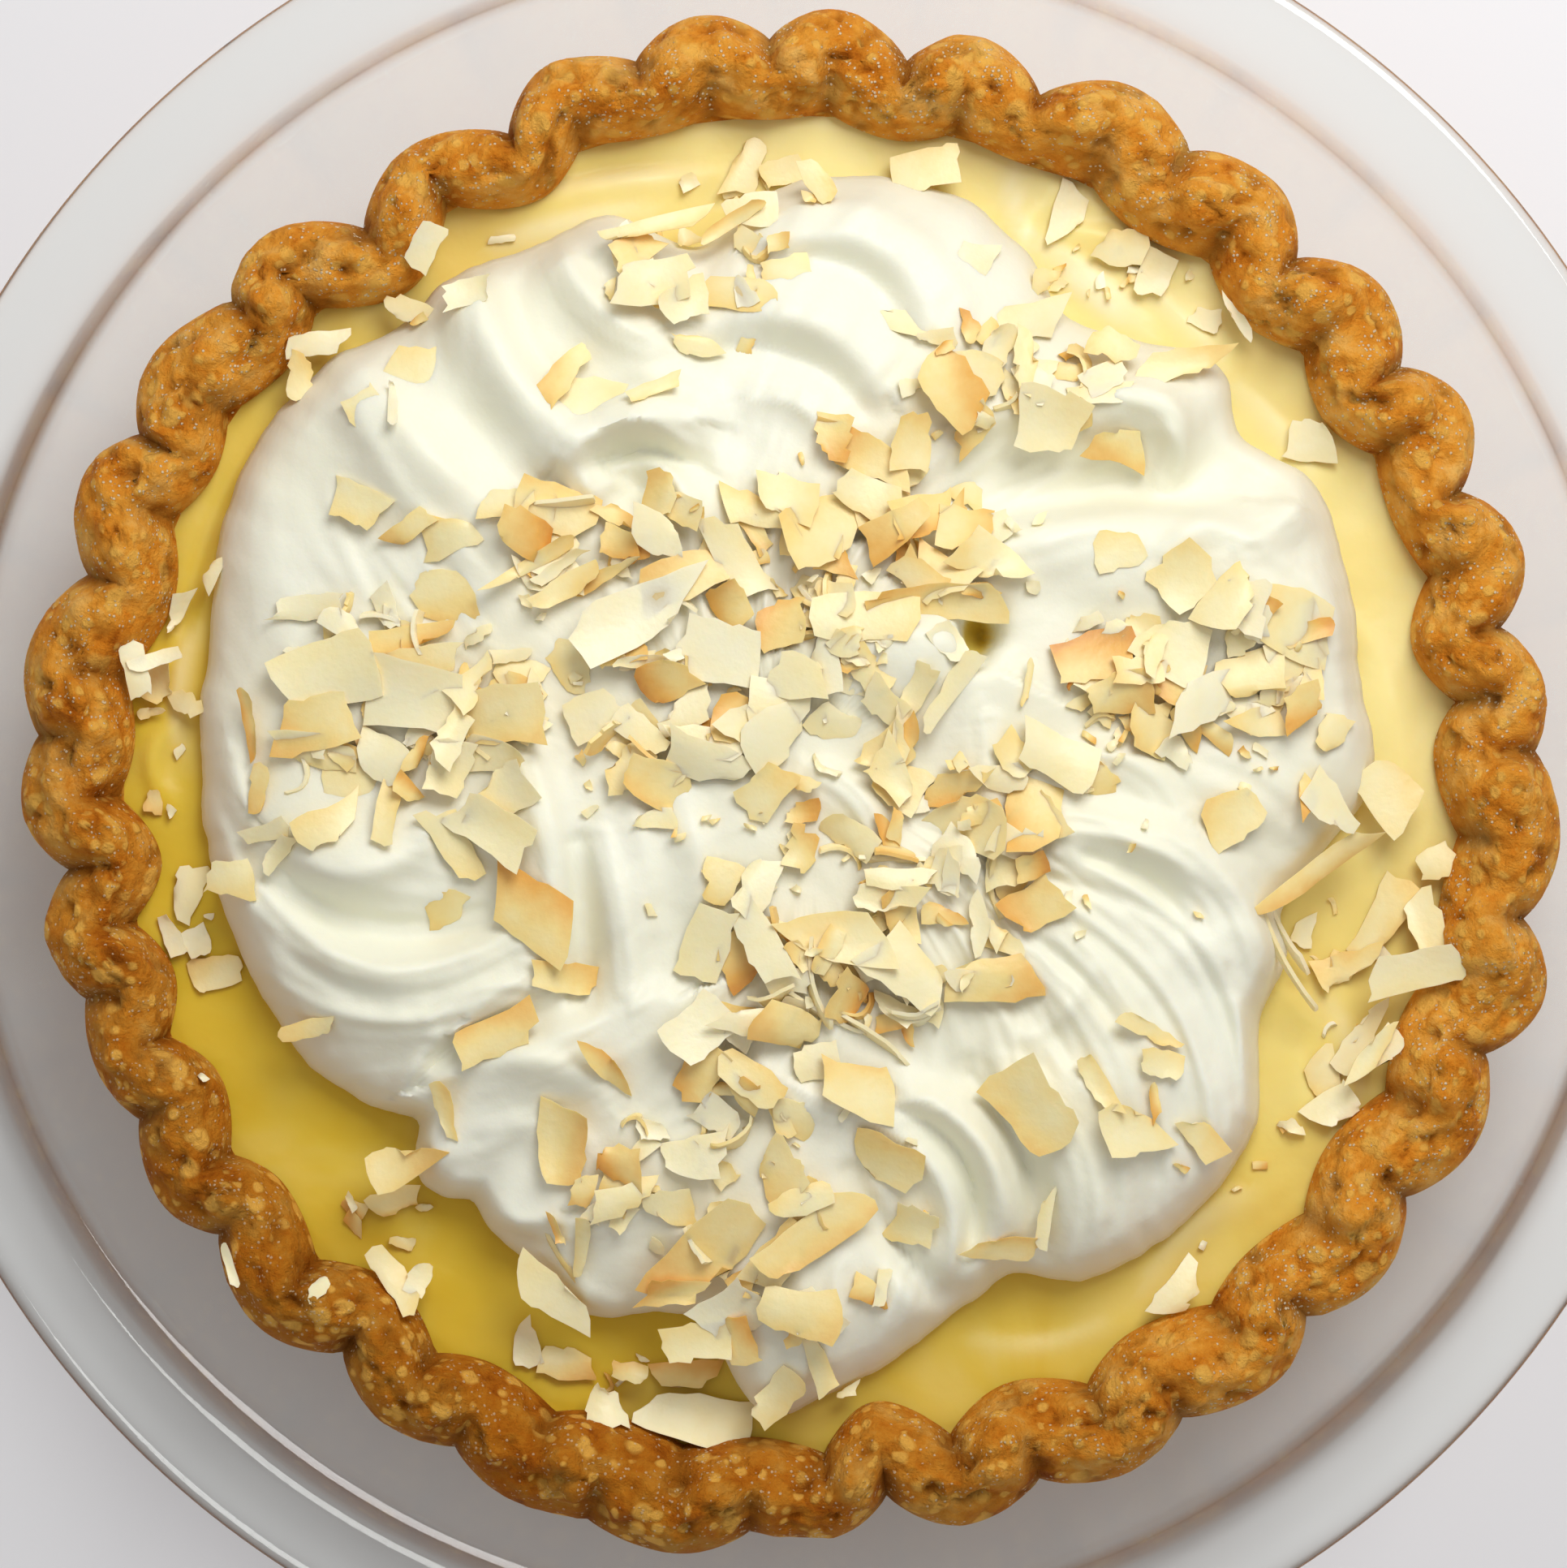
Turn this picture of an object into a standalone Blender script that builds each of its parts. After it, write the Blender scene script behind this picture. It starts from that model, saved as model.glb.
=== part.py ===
"""A coconut cream pie in its round glass dish, whole and uncut.

Metres, +Z up, with the origin under the middle of the dish. The table of sizes
below is in millimetres, and MM turns it to metres where a mesh is made.
"""

import bmesh
import bpy
import numpy as np
from math import atan2, cos, exp, hypot, pi, radians, sin
from mathutils import Matrix, Vector
from mathutils.bvhtree import BVHTree

MM = 0.001
GAP = 0.5

# Glass dish: a turned wall with a flared rim and a rolled lip
DISH_RADIUS = 120.0
DISH_HEIGHT = 38.4
DISH_STEPS = 64
FOOT_RADIUS = 86.0
FLOOR_THICKNESS = 4.6
WALL_FOOT = (85.2, 7.2)
WALL_TOP = (105.2, 35.9)

# Crust: a pressed bowl whose rim is a rope of dough, crimped in and out
CRIMPS = 31
STEPS_PER_CRIMP = 6
FIRST_CRIMP_ANGLE = 6.9
CRUST_SHIFT = (-0.4, 0.4)
CRIMP_PEAK_RADIUS = 99.9
CRIMP_NOTCH = 4.1
LOBE_RADIUS = 84.6
LOBE_NOTCH = 2.9
ROPE_TOP = 40.2
ROPE_OUTER_FOOT = 31.5
ROPE_INNER_FOOT = 29.9
ROPE_ARC_POINTS = 6
CRUST_FLOOR = 9.2
INNER_WALL = (87.2, 28.9)
ROPE_SEAT = 25.5
SEAT_SETBACK = 0.4
# Where the rim was pushed about while it was pinched: angle, half width, amount
CRIMP_DRIFT = ((55, 24, -1.7), (107, 14, -3.2), (171, 9, 1.8), (213, 24, -2.2), (268, 26, -1.3))
RIM_PUSH = ((121, 12, -3.8), (203, 14, -2.2), (261, 6, 1.3), (274, 6, -1.6), (343, 7, 1.6))
NOTCH_SWELL = ((115, 16, 2.2), (62, 8, -1.4), (176, 8, -1.8), (232, 12, 1.0), (255, 8, -2.6), (278, 6, 2.0))

# Custard: fills the crust to just under the rope
CUSTARD_RADIUS = 86.6
CUSTARD_EDGE = 28.3
CUSTARD_LEVEL = 28.6
CUSTARD_UNDER_CREAM = 28.9
CUSTARD_WAVE = 0.3

# Whipped cream: a thick lobed layer with spoon strokes across it
CREAM_UNDER = 29.3
CREAM_BELLY = 32.0
CREAM_UNDERCUT = 1.4
CREAM_EDGE_HEIGHT = 11.0
CREAM_CROWN = 7.5
CREAM_STEPS = 96
CREAM_RINGS = (0.12, 0.24, 0.35, 0.45, 0.54, 0.62, 0.70, 0.77, 0.84, 0.90, 0.945, 0.98)
# Outline of the cream, anticlockwise from +X: angle in degrees, radius
CREAM_OUTLINE = (
    (0, 75.0), (12, 75.3), (22, 77.3), (30, 78.0), (38, 74.0), (44, 77.8), (53, 72.8), (60, 70.8),
    (66, 75.6), (75, 79.7), (86, 79.6), (92, 77.0), (100, 70.8), (108, 77.6), (116, 77.6), (124, 79.3),
    (131, 78.4), (137, 81.5), (147, 82.5), (156, 80.8), (166, 77.8), (180, 76.7), (190, 76.1), (201, 74.0),
    (210, 73.0), (218, 68.7), (223, 67.8), (232, 70.3), (243, 72.6), (249, 73.5), (256, 70.7), (261, 71.2),
    (267, 81.4), (274, 78.8), (283, 74.0), (291, 70.5), (295, 69.7), (300, 74.5), (308, 76.0), (316, 76.3),
    (323, 75.2), (330, 70.2), (334, 68.0), (341, 68.0), (346, 65.8), (353, 69.6),
)
# Strokes of the spoon: start x, y, end x, y, bow to the left, rise, left width, right width
CREAM_STROKES = (
    (-57.3, 54.4, -36.9, 34.4, -1.0, 5.0, 4.0, 7.0),
    (-42.1, 67.0, -27.4, 43.4, -2.2, 6.0, 3.5, 5.0),
    (-30.6, 71.2, -18.5, 57.5, -2.3, 4.5, 3.0, 3.5),
    (-24.8, 73.1, -20.6, 65.4, 0.0, 3.0, 2.5, 2.5),
    (-29.0, 42.3, -13.2, 47.0, 2.6, 6.0, 4.0, 2.5),
    (-25.3, 38.6, -12.2, 34.4, 3.6, 4.0, 2.5, 2.5),
    (-23.0, 40.5, -17.0, 38.0, 0.0, -5.0, 3.0, 3.0),
    (-2.7, 70.1, 18.3, 59.6, 5.6, 3.0, 5.0, 2.5),
    (-11.1, 59.6, 11.4, 51.2, 4.4, 3.5, 5.0, 2.5),
    (-4.8, 49.7, 4.6, 44.4, 2.0, 2.0, 3.0, 2.0),
    (18.0, 33.5, 56.0, 37.0, 1.5, -7.5, 10.0, 2.4),
    (42.9, 50.4, 48.2, 39.7, 4.0, 4.0, 2.5, 3.0),
    (26.1, 31.5, 69.7, 22.9, 7.0, 3.5, 2.4, 16.0),
    (66.8, 39.0, 58.7, 31.8, 1.0, 3.5, 3.5, 2.5),
    (70.8, 29.2, 73.1, 7.1, 1.0, 2.0, 4.0, 4.0),
    (28.8, 24.0, 48.7, 19.8, 0.0, -2.0, 5.0, 6.0),
    (3.6, 18.7, 24.0, 16.0, 2.0, 4.0, 3.0, 9.0),
    (24.6, 21.5, 24.0, 17.5, 0.0, -6.0, 2.5, 2.5),
    (35.1, -4.4, 60.8, -34.9, 10.1, 5.0, 3.0, 4.0),
    (34.0, -9.1, 57.1, -49.6, 9.9, 3.0, 3.0, 3.0),
    (34.5, -14.9, 54.0, -51.1, 6.1, 3.0, 3.0, 3.0),
    (34.0, -19.6, 48.7, -55.3, 4.3, 2.5, 3.0, 3.0),
    (30.3, -22.3, 42.4, -59.0, 5.3, 2.5, 3.0, 3.0),
    (26.7, -38.0, 36.1, -62.2, 5.6, 3.0, 4.0, 4.0),
    (23.0, -37.0, 33.0, -62.2, 2.1, -3.5, 2.5, 2.5),
    (15.1, -39.6, 24.0, -63.2, 6.5, 4.0, 3.0, 2.0),
    (11.4, -43.3, 19.8, -63.2, 4.0, 2.5, 2.0, 2.0),
    (7.8, -49.6, 19.8, -65.8, -1.5, -3.0, 2.0, 2.0),
    (6.2, -62.2, 4.6, -75.8, 0.0, 2.0, 3.0, 3.0),
    (15.1, -62.2, 12.0, -71.6, 0.0, 2.0, 3.0, 3.0),
    (-65.7, -6.5, -47.9, -7.6, -3.9, 4.0, 6.0, 2.5),
    (-69.1, -13.3, -35.3, -19.1, -7.6, 4.0, 3.0, 4.0),
    (-66.8, -11.8, -39.5, -17.0, -4.0, -3.0, 3.0, 3.0),
    (-68.4, -23.8, -34.2, -24.4, -6.0, 3.0, 3.0, 3.5),
    (-45.3, -38.0, -16.4, -27.5, 0.0, 3.5, 2.5, 8.0),
    (-42.1, -55.9, -20.6, -54.8, -2.0, 2.0, 2.5, 2.5),
    (-33.7, 2.9, -29.0, -22.3, 1.0, 3.5, 2.5, 4.0),
    (-24.3, -6.5, -21.1, -25.4, 0.5, 3.0, 3.0, 2.5),
    (-27.4, -7.6, -26.4, -27.5, 0.0, -3.0, 2.0, 2.0),
)
STROKE_SAMPLES = 10

# Coconut: bent flakes, thicker here than the real shavings so that they stay solid
FLAKE_THICKNESS = 0.9
FLAKE_LENGTH = (9.0, 16.0)
FLAKE_WIDTH = (6.0, 10.0)
FLAKE_BEND = 1.6
FLAKE_SINK = 0.35
FLAKE_TILT = 24.0
FLAKE_SPACING = 7.0
FLAKE_TRIES = 60
# Where the flakes fell on the cream: middle x, y, half spread x, y, how many
CREAM_SHOWERS = (
    (-18, 29, 12, 8, 6), (10, 24, 18, 13, 9), (-16, 6, 13, 12, 6), (3, -22, 15, 18, 8),
    (-49, 6, 18, 19, 8), (52, 16, 17, 12, 7), (-5, -59, 12, 11, 4), (-11, 63, 13, 8, 3), (29, 50, 15, 11, 5),
)
# The same where they lie flat on the custard beside the cream
CUSTARD_SHOWERS = (
    (72, -19, 6, 16, 5), (41, 68, 8, 8, 3), (-53, -54, 6, 8, 3), (-24, -77, 9, 5, 2), (52, -62, 6, 5, 1),
)
CUSTARD_FLAKE_TILT = 3.0
CUSTARD_FLAKE_TOP = 30.4
CUSTARD_FLAKE_REACH = 82.0
CREAM_FLAKE_REACH = 79.0
CREAM_FLAKE_FOOT = 33.0


def smooth_step(low, high, value):
    """0 before low, 1 after high, with a soft change between them."""
    share = min(max((value - low) / (high - low), 0.0), 1.0)
    return share * share * (3.0 - 2.0 * share)


def bumps(table, angle):
    """Sum of soft bumps round the pie, each given as angle, half width, amount."""
    total = 0.0
    for centre, width, amount in table:
        away = (angle - centre + 180.0) % 360.0 - 180.0
        total += amount * exp(-((away / width) ** 2))
    return total


def material(name, colour, roughness, metallic=0.0, transmission=0.0):
    made = bpy.data.materials.new(name)
    made.use_nodes = True
    shader = made.node_tree.nodes["Principled BSDF"]
    shader.inputs["Base Color"].default_value = (*colour, 1.0)
    shader.inputs["Roughness"].default_value = roughness
    shader.inputs["Metallic"].default_value = metallic
    shader.inputs["Transmission Weight"].default_value = transmission
    made.diffuse_color = (*colour, 1.0)
    return made


def finished_object(name, bm, made_of):
    """Close the normals outwards and make the named object, smooth between its sharper edges."""
    bmesh.ops.recalc_face_normals(bm, faces=bm.faces)
    mesh = bpy.data.meshes.new(name)
    bm.to_mesh(mesh)
    bm.free()
    mesh.materials.append(made_of)
    mesh.shade_smooth()
    mesh.set_sharp_from_angle(angle=radians(50.0))
    obj = bpy.data.objects.new(name, mesh)
    bpy.context.scene.collection.objects.link(obj)
    return obj


def turned(profile, steps):
    """Spin a profile of (radius, height) about +Z. Profile points on the axis become poles."""
    bm = bmesh.new()
    points = [bm.verts.new((radius, 0.0, height)) for radius, height in profile]
    edges = [bm.edges.new(pair) for pair in zip(points, points[1:])]
    if profile[0][0] > 0.0:
        edges.append(bm.edges.new((points[-1], points[0])))
    bmesh.ops.spin(
        bm, geom=points + edges, axis=(0.0, 0.0, 1.0), cent=(0.0, 0.0, 0.0),
        angle=2.0 * pi, steps=steps, use_merge=True,
    )
    bmesh.ops.remove_doubles(bm, verts=bm.verts, dist=0.001)
    return bm


def reshaped(bm, profile, place):
    """Move every point of a turned blank: place(ring, angle) gives its new x, y, z."""
    for point in bm.verts:
        radius, height = hypot(point.co.x, point.co.y), point.co.z
        ring = min(
            range(len(profile)),
            key=lambda number: abs(profile[number][0] - radius) + abs(profile[number][1] - height),
        )
        point.co = place(ring, atan2(point.co.y, point.co.x))


def in_metres(bm):
    bmesh.ops.scale(bm, vec=(MM, MM, MM), verts=bm.verts)
    return bm


def glass_radius(height):
    """Inner radius of the dish's sloping wall at a height."""
    slope = (WALL_TOP[0] - WALL_FOOT[0]) / (WALL_TOP[1] - WALL_FOOT[1])
    return WALL_FOOT[0] + slope * (height - WALL_FOOT[1])


def dish():
    """Glass pie dish: foot, sloping wall, flared flange and rolled lip, as one turned wall."""
    profile = (
        (0.0, 0.0), (FOOT_RADIUS - 4.5, 0.0), (FOOT_RADIUS + 0.5, 1.4), (FOOT_RADIUS + 3.2, 4.6),
        (108.6, 33.0), (110.8, 34.8), (118.2, 35.0), (DISH_RADIUS, 36.7),
        (118.6, DISH_HEIGHT), (117.2, 38.2), (112.4, 38.0), (107.6, 37.4), WALL_TOP,
        WALL_FOOT, (83.0, 5.4), (79.5, FLOOR_THICKNESS), (0.0, FLOOR_THICKNESS),
    )
    blank = turned(profile, DISH_STEPS)
    glass = material("clear glass", (0.86, 0.93, 0.90), 0.03, transmission=1.0)
    return finished_object("pie_dish", in_metres(blank), glass)


def crimp_angle(turn):
    """Angle in degrees of a place along the rim, counted in crimps from the first peak."""
    even = FIRST_CRIMP_ANGLE + 360.0 * turn / CRIMPS
    return even + bumps(CRIMP_DRIFT, even)


def rope_point(turn, share):
    """Point on top of the rope: turn counts crimps, share runs from its inner edge to its outer one."""
    angle = crimp_angle(turn)
    notch = CRIMP_NOTCH + bumps(NOTCH_SWELL, angle)
    push = bumps(RIM_PUSH, angle)
    outer = CRIMP_PEAK_RADIUS + push - notch * (1.0 - abs(cos(pi * turn)) ** 0.9)
    inner = LOBE_RADIUS + push + LOBE_NOTCH * (1.0 - abs(sin(pi * turn)) ** 0.9)
    radius = inner + (outer - inner) * share
    foot = ROPE_INNER_FOOT + (ROPE_OUTER_FOOT - ROPE_INNER_FOOT) * share
    from_peak = abs((turn + 0.5) % 1.0 - 0.5)
    crest = (ROPE_TOP - foot) * sin(pi * share) ** 0.62
    leg = 0.8 * cos(2.0 * pi * (turn - 0.25 - 0.25 * (share - 0.5))) * sin(pi * share)
    outer_crease = 2.4 * exp(-(((0.5 - from_peak) / 0.10) ** 2)) * smooth_step(0.3, 0.85, share)
    inner_crease = 1.8 * exp(-((from_peak / 0.10) ** 2)) * smooth_step(0.6, 0.15, share)
    side = sin(pi * share) ** 0.5
    height = foot + crest + leg - (outer_crease + inner_crease) * side
    x = radius * cos(radians(angle)) + CRUST_SHIFT[0]
    y = radius * sin(radians(angle)) + CRUST_SHIFT[1]
    return x, y, height


def crust():
    """Pie crust: floor and wall that follow the glass, and the crimped rope on top of the wall."""
    rope = [(1.0 - cos(pi * step / (ROPE_ARC_POINTS - 1))) / 2.0 for step in range(ROPE_ARC_POINTS)]
    wall_foot = 7.8
    inside = [(0.0, CRUST_FLOOR), (76.5, CRUST_FLOOR), INNER_WALL]
    top = [(88.0 + 10.0 * share, 60.0 + step) for step, share in enumerate(rope)]
    outside = [
        (glass_radius(ROPE_SEAT) - GAP, ROPE_SEAT),
        (glass_radius(wall_foot) - GAP, wall_foot),
        (79.0, FLOOR_THICKNESS + GAP),
        (0.0, FLOOR_THICKNESS + GAP),
    ]
    profile = inside + top + outside

    def place(ring, direction):
        spoke = round((direction % (2.0 * pi)) / (2.0 * pi) * CRIMPS * STEPS_PER_CRIMP)
        turn = spoke / STEPS_PER_CRIMP
        if len(inside) <= ring < len(inside) + len(top):
            return rope_point(turn, rope[ring - len(inside)])
        radius, height = profile[ring]
        angle = radians(crimp_angle(turn))
        if height == ROPE_SEAT:
            # The wall draws in under each notch of the rope, away from the glass
            rim_x, rim_y, _ = rope_point(turn, 1.0)
            radius = min(radius, hypot(rim_x, rim_y) - SEAT_SETBACK)
        return radius * cos(angle), radius * sin(angle), height

    blank = turned(profile, CRIMPS * STEPS_PER_CRIMP)
    reshaped(blank, profile, place)
    pastry = material("baked shortcrust pastry", (0.56, 0.25, 0.07), 0.75)
    return finished_object("crust", in_metres(blank), pastry)


def cream_radius(angle):
    """Radius of the cream's outline at an angle in degrees, rounded through the outline's points."""
    angle %= 360.0
    count = len(CREAM_OUTLINE)
    after = next((i for i, (corner, _) in enumerate(CREAM_OUTLINE) if corner > angle), count)
    knots = []
    for step in (-2, -1, 0, 1):
        corner, radius = CREAM_OUTLINE[(after + step) % count]
        knots.append((corner + 360.0 * ((after + step) // count), radius))
    (_, before), (low, start), (high, end), (_, beyond) = knots
    share = (angle - low) / (high - low)
    slope_in = (end - before) / 2.0
    slope_out = (beyond - start) / 2.0
    square, cube = share * share, share ** 3
    return (
        start * (2.0 * cube - 3.0 * square + 1.0) + slope_in * (cube - 2.0 * square + share)
        + end * (3.0 * square - 2.0 * cube) + slope_out * (cube - square)
    )


def stroke_rise(stroke, x, y):
    """Height that one stroke of the spoon adds at a point: a bowed ridge, or a groove if it is below 0."""
    x0, y0, x1, y1, bow, rise, left, right = stroke
    start, end = Vector((x0, y0)), Vector((x1, y1))
    along = (end - start).normalized()
    middle = (start + end) / 2.0 + Vector((-along.y, along.x)) * 2.0 * bow
    best = None
    for step in range(STROKE_SAMPLES + 1):
        share = step / STROKE_SAMPLES
        on = start * (1.0 - share) ** 2 + middle * 2.0 * share * (1.0 - share) + end * share ** 2
        away = Vector((x, y)) - on
        if best is None or away.length < best[0]:
            heading = (middle - start) * (1.0 - share) + (end - middle) * share
            best = (away.length, heading.cross(away), share)
    distance, side, share = best
    width = left if side > 0.0 else right
    fade = 0.55 + 0.45 * sin(pi * min(max(share, 0.0), 1.0))
    return rise * fade * exp(-((distance / width) ** 2))


def cream_height(x, y, share):
    """Top of the cream, where share is 0 in the middle and 1 at its outline."""
    body = CREAM_EDGE_HEIGHT * (1.0 - share ** 9) ** 0.5 + CREAM_CROWN * (1.0 - share * share)
    relief = sum(stroke_rise(stroke, x, y) for stroke in CREAM_STROKES)
    return CREAM_UNDER + body + relief * (1.0 - smooth_step(0.9, 1.0, share))


def whipped_cream():
    """The bare layer of cream, still in millimetres."""
    reach = 75.0
    shares = (0.0,) + CREAM_RINGS
    profile = [(share * reach, 60.0) for share in shares]
    profile += [(reach, CREAM_BELLY), (reach - CREAM_UNDERCUT, CREAM_UNDER), (0.0, CREAM_UNDER)]

    def place(ring, direction):
        outline = cream_radius(direction * 180.0 / pi)
        if ring < len(shares):
            radius = shares[ring] * outline
            x, y = radius * cos(direction), radius * sin(direction)
            return x, y, cream_height(x, y, shares[ring])
        height = profile[ring][1]
        radius = profile[ring][0] and outline - (CREAM_UNDERCUT if height == CREAM_UNDER else 0.0)
        return radius * cos(direction), radius * sin(direction), height

    blank = turned(profile, CREAM_STEPS)
    reshaped(blank, profile, place)
    return blank


def custard():
    """The bare custard, still in millimetres: a wavy ring shows between the cream and the rope."""
    rings = ((CUSTARD_RADIUS, CUSTARD_EDGE), (84.0, CUSTARD_LEVEL), (80.0, CUSTARD_LEVEL), (75.0, CUSTARD_LEVEL),
             (70.0, CUSTARD_LEVEL), (64.0, CUSTARD_UNDER_CREAM), (0.0, CUSTARD_UNDER_CREAM))
    floor = CRUST_FLOOR + GAP
    profile = ((0.0, floor), (76.0, floor)) + rings

    def place(ring, direction):
        radius, height = profile[ring]
        if height == CUSTARD_LEVEL:
            height += CUSTARD_WAVE * sin(5.0 * direction + radius * 0.21) * cos(3.0 * direction - radius * 0.4)
        return radius * cos(direction), radius * sin(direction), height

    blank = turned(profile, 72)
    reshaped(blank, profile, place)
    return blank


def flake(random, size):
    """One bent flake with an uneven edge, lying about the origin. Size runs from 0, small, to 1."""
    bm = bmesh.new()
    bmesh.ops.create_grid(bm, x_segments=2, y_segments=1, size=0.5)
    for point in bm.verts:
        point.co.x += random.uniform(-0.10, 0.10)
        point.co.y += random.uniform(-0.16, 0.16)
    sheet = list(bm.faces)
    grown = bmesh.ops.extrude_face_region(bm, geom=sheet)
    upper = [item for item in grown["geom"] if isinstance(item, bmesh.types.BMVert)]
    bmesh.ops.translate(bm, verts=upper, vec=(0.0, 0.0, FLAKE_THICKNESS))
    length = FLAKE_LENGTH[0] + (FLAKE_LENGTH[1] - FLAKE_LENGTH[0]) * size
    width = FLAKE_WIDTH[0] + (FLAKE_WIDTH[1] - FLAKE_WIDTH[0]) * size
    bend = FLAKE_BEND * random.uniform(-0.4, 1.0)
    for point in bm.verts:
        point.co.z += bend * (1.0 - 4.0 * point.co.x ** 2) - FLAKE_THICKNESS / 2.0
        point.co.x *= length
        point.co.y *= width
    bmesh.ops.recalc_face_normals(bm, faces=bm.faces)
    bmesh.ops.triangulate(bm, faces=bm.faces)
    return bm


def scattered(bare, showers, seed, tilt, allowed):
    """Drop flakes on a bare surface, largest first in each shower, each sunk a little into it."""
    random = np.random.default_rng(seed)
    ground = BVHTree.FromBMesh(bare)
    fallen = []
    taken = []
    for mid_x, mid_y, spread_x, spread_y, count in showers:
        landed = 0
        for _ in range(FLAKE_TRIES * count):
            if landed == count:
                break
            size = (1.0 - landed / count) * random.uniform(0.6, 1.0)
            spot = Vector((mid_x + spread_x * random.uniform(-1, 1), mid_y + spread_y * random.uniform(-1, 1)))
            if any((spot - other).length < FLAKE_SPACING for other in taken):
                continue
            hit, normal, _, _ = ground.ray_cast(Vector((*spot, 100.0)), Vector((0.0, 0.0, -1.0)))
            if hit is None:
                continue
            lean = Matrix.Rotation(radians(random.uniform(-tilt, tilt)), 4, "X")
            spin = Matrix.Rotation(random.uniform(0.0, 2.0 * pi), 4, "Z")
            facing = normal.to_track_quat("Z", "Y").to_matrix().to_4x4()
            piece = flake(random, size)
            seat = Matrix.Translation(hit - normal * FLAKE_SINK)
            bmesh.ops.transform(piece, matrix=seat @ facing @ spin @ lean, verts=piece.verts)
            if all(allowed(point.co) for point in piece.verts):
                fallen.append(piece)
                taken.append(spot)
                landed += 1
            else:
                piece.free()
    return fallen


def clear_of_the_rim(point):
    """A flake on the cream may lean over its edge only above the custard, and never reaches the rope."""
    radius = hypot(point.x, point.y)
    edge = cream_radius(atan2(point.y, point.x) * 180.0 / pi)
    return radius < CREAM_FLAKE_REACH and (radius < edge - 3.0 or point.z > CREAM_FLAKE_FOOT)


def clear_of_the_cream(point):
    """A flake on the custard lies low, outside the cream and inside the rope."""
    radius = hypot(point.x, point.y)
    edge = cream_radius(atan2(point.y, point.x) * 180.0 / pi)
    return edge + 0.8 < radius < CUSTARD_FLAKE_REACH and point.z < CUSTARD_FLAKE_TOP


def islands(bm):
    """Lists of faces, one for each separate shell."""
    left = set(bm.faces)
    found = []
    while left:
        seed = left.pop()
        shell = [seed]
        for face in shell:
            near = {other for edge in face.edges for other in edge.link_faces} & left
            left -= near
            shell.extend(near)
        found.append(shell)
    return found


def fused(name, bare, pieces, made_of):
    """Join the flakes to what they lie on with one Boolean union, and keep only its outer shell."""
    base = finished_object(name, in_metres(bare), made_of)
    helpers = bpy.data.collections.new(name + " flakes")
    bpy.context.scene.collection.children.link(helpers)
    for number, piece in enumerate(pieces):
        mesh = bpy.data.meshes.new(f"{name} flake {number}")
        in_metres(piece).to_mesh(mesh)
        piece.free()
        helpers.objects.link(bpy.data.objects.new(mesh.name, mesh))
    union = base.modifiers.new("flakes", "BOOLEAN")
    union.operation = "UNION"
    union.operand_type = "COLLECTION"
    union.collection = helpers
    union.solver = "EXACT"
    bpy.context.view_layer.update()
    whole = bpy.data.meshes.new_from_object(base.evaluated_get(bpy.context.evaluated_depsgraph_get()))
    base.modifiers.remove(union)
    for helper in list(helpers.objects):
        bpy.data.objects.remove(helper)
    bpy.data.collections.remove(helpers)

    bm = bmesh.new()
    bm.from_mesh(whole)
    bmesh.ops.remove_doubles(bm, verts=bm.verts, dist=0.00001)
    bmesh.ops.dissolve_degenerate(bm, edges=bm.edges, dist=0.00001)
    bmesh.ops.triangulate(bm, faces=bm.faces)
    shells = sorted(islands(bm), key=len)
    for scrap in shells[:-1]:
        bmesh.ops.delete(bm, geom=scrap, context="FACES")
    bm.to_mesh(base.data)
    bm.free()
    base.data.shade_smooth()
    base.data.set_sharp_from_angle(angle=radians(50.0))
    return base


def main():
    for obj in list(bpy.data.objects):
        bpy.data.objects.remove(obj)
    dish()
    crust()
    yellow = material("set vanilla custard", (0.80, 0.58, 0.14), 0.35)
    white = material("whipped cream", (0.93, 0.92, 0.84), 0.45)
    bare = custard()
    fallen = scattered(bare, CUSTARD_SHOWERS, 11, CUSTARD_FLAKE_TILT, clear_of_the_cream)
    fused("custard", bare, fallen, yellow)
    bare = whipped_cream()
    fallen = scattered(bare, CREAM_SHOWERS, 7, FLAKE_TILT, clear_of_the_rim)
    fused("whipped_cream", bare, fallen, white)


main()
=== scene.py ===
import math

import bmesh
import bpy
import numpy as np
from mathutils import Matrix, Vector, noise
from mathutils.bvhtree import BVHTree


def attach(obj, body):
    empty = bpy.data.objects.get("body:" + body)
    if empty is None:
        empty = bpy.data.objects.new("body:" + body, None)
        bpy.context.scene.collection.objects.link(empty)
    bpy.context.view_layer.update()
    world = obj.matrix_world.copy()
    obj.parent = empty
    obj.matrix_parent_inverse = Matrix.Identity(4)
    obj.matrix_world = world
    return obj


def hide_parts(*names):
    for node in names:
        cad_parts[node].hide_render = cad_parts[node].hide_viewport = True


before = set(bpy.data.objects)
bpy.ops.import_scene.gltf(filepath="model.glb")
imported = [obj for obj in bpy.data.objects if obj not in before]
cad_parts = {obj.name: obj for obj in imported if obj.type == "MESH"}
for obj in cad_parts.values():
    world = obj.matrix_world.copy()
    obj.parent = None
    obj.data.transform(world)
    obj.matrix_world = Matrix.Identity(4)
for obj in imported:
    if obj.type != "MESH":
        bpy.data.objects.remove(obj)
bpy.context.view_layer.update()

# Coconut cream pie in a glass dish. Sizes are in millimetres until a mesh is written, then metres.
mm = 0.001


def linear(hexColour):
    parts = [int(hexColour[i:i + 2], 16) / 255 for i in (1, 3, 5)]
    return tuple(c / 12.92 if c <= 0.04045 else ((c + 0.055) / 1.055) ** 2.4 for c in parts) + (1.0,)


def perMm(size):  # texture scale for a feature of this size, because coordinates are in metres
    return 1000 / size


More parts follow.
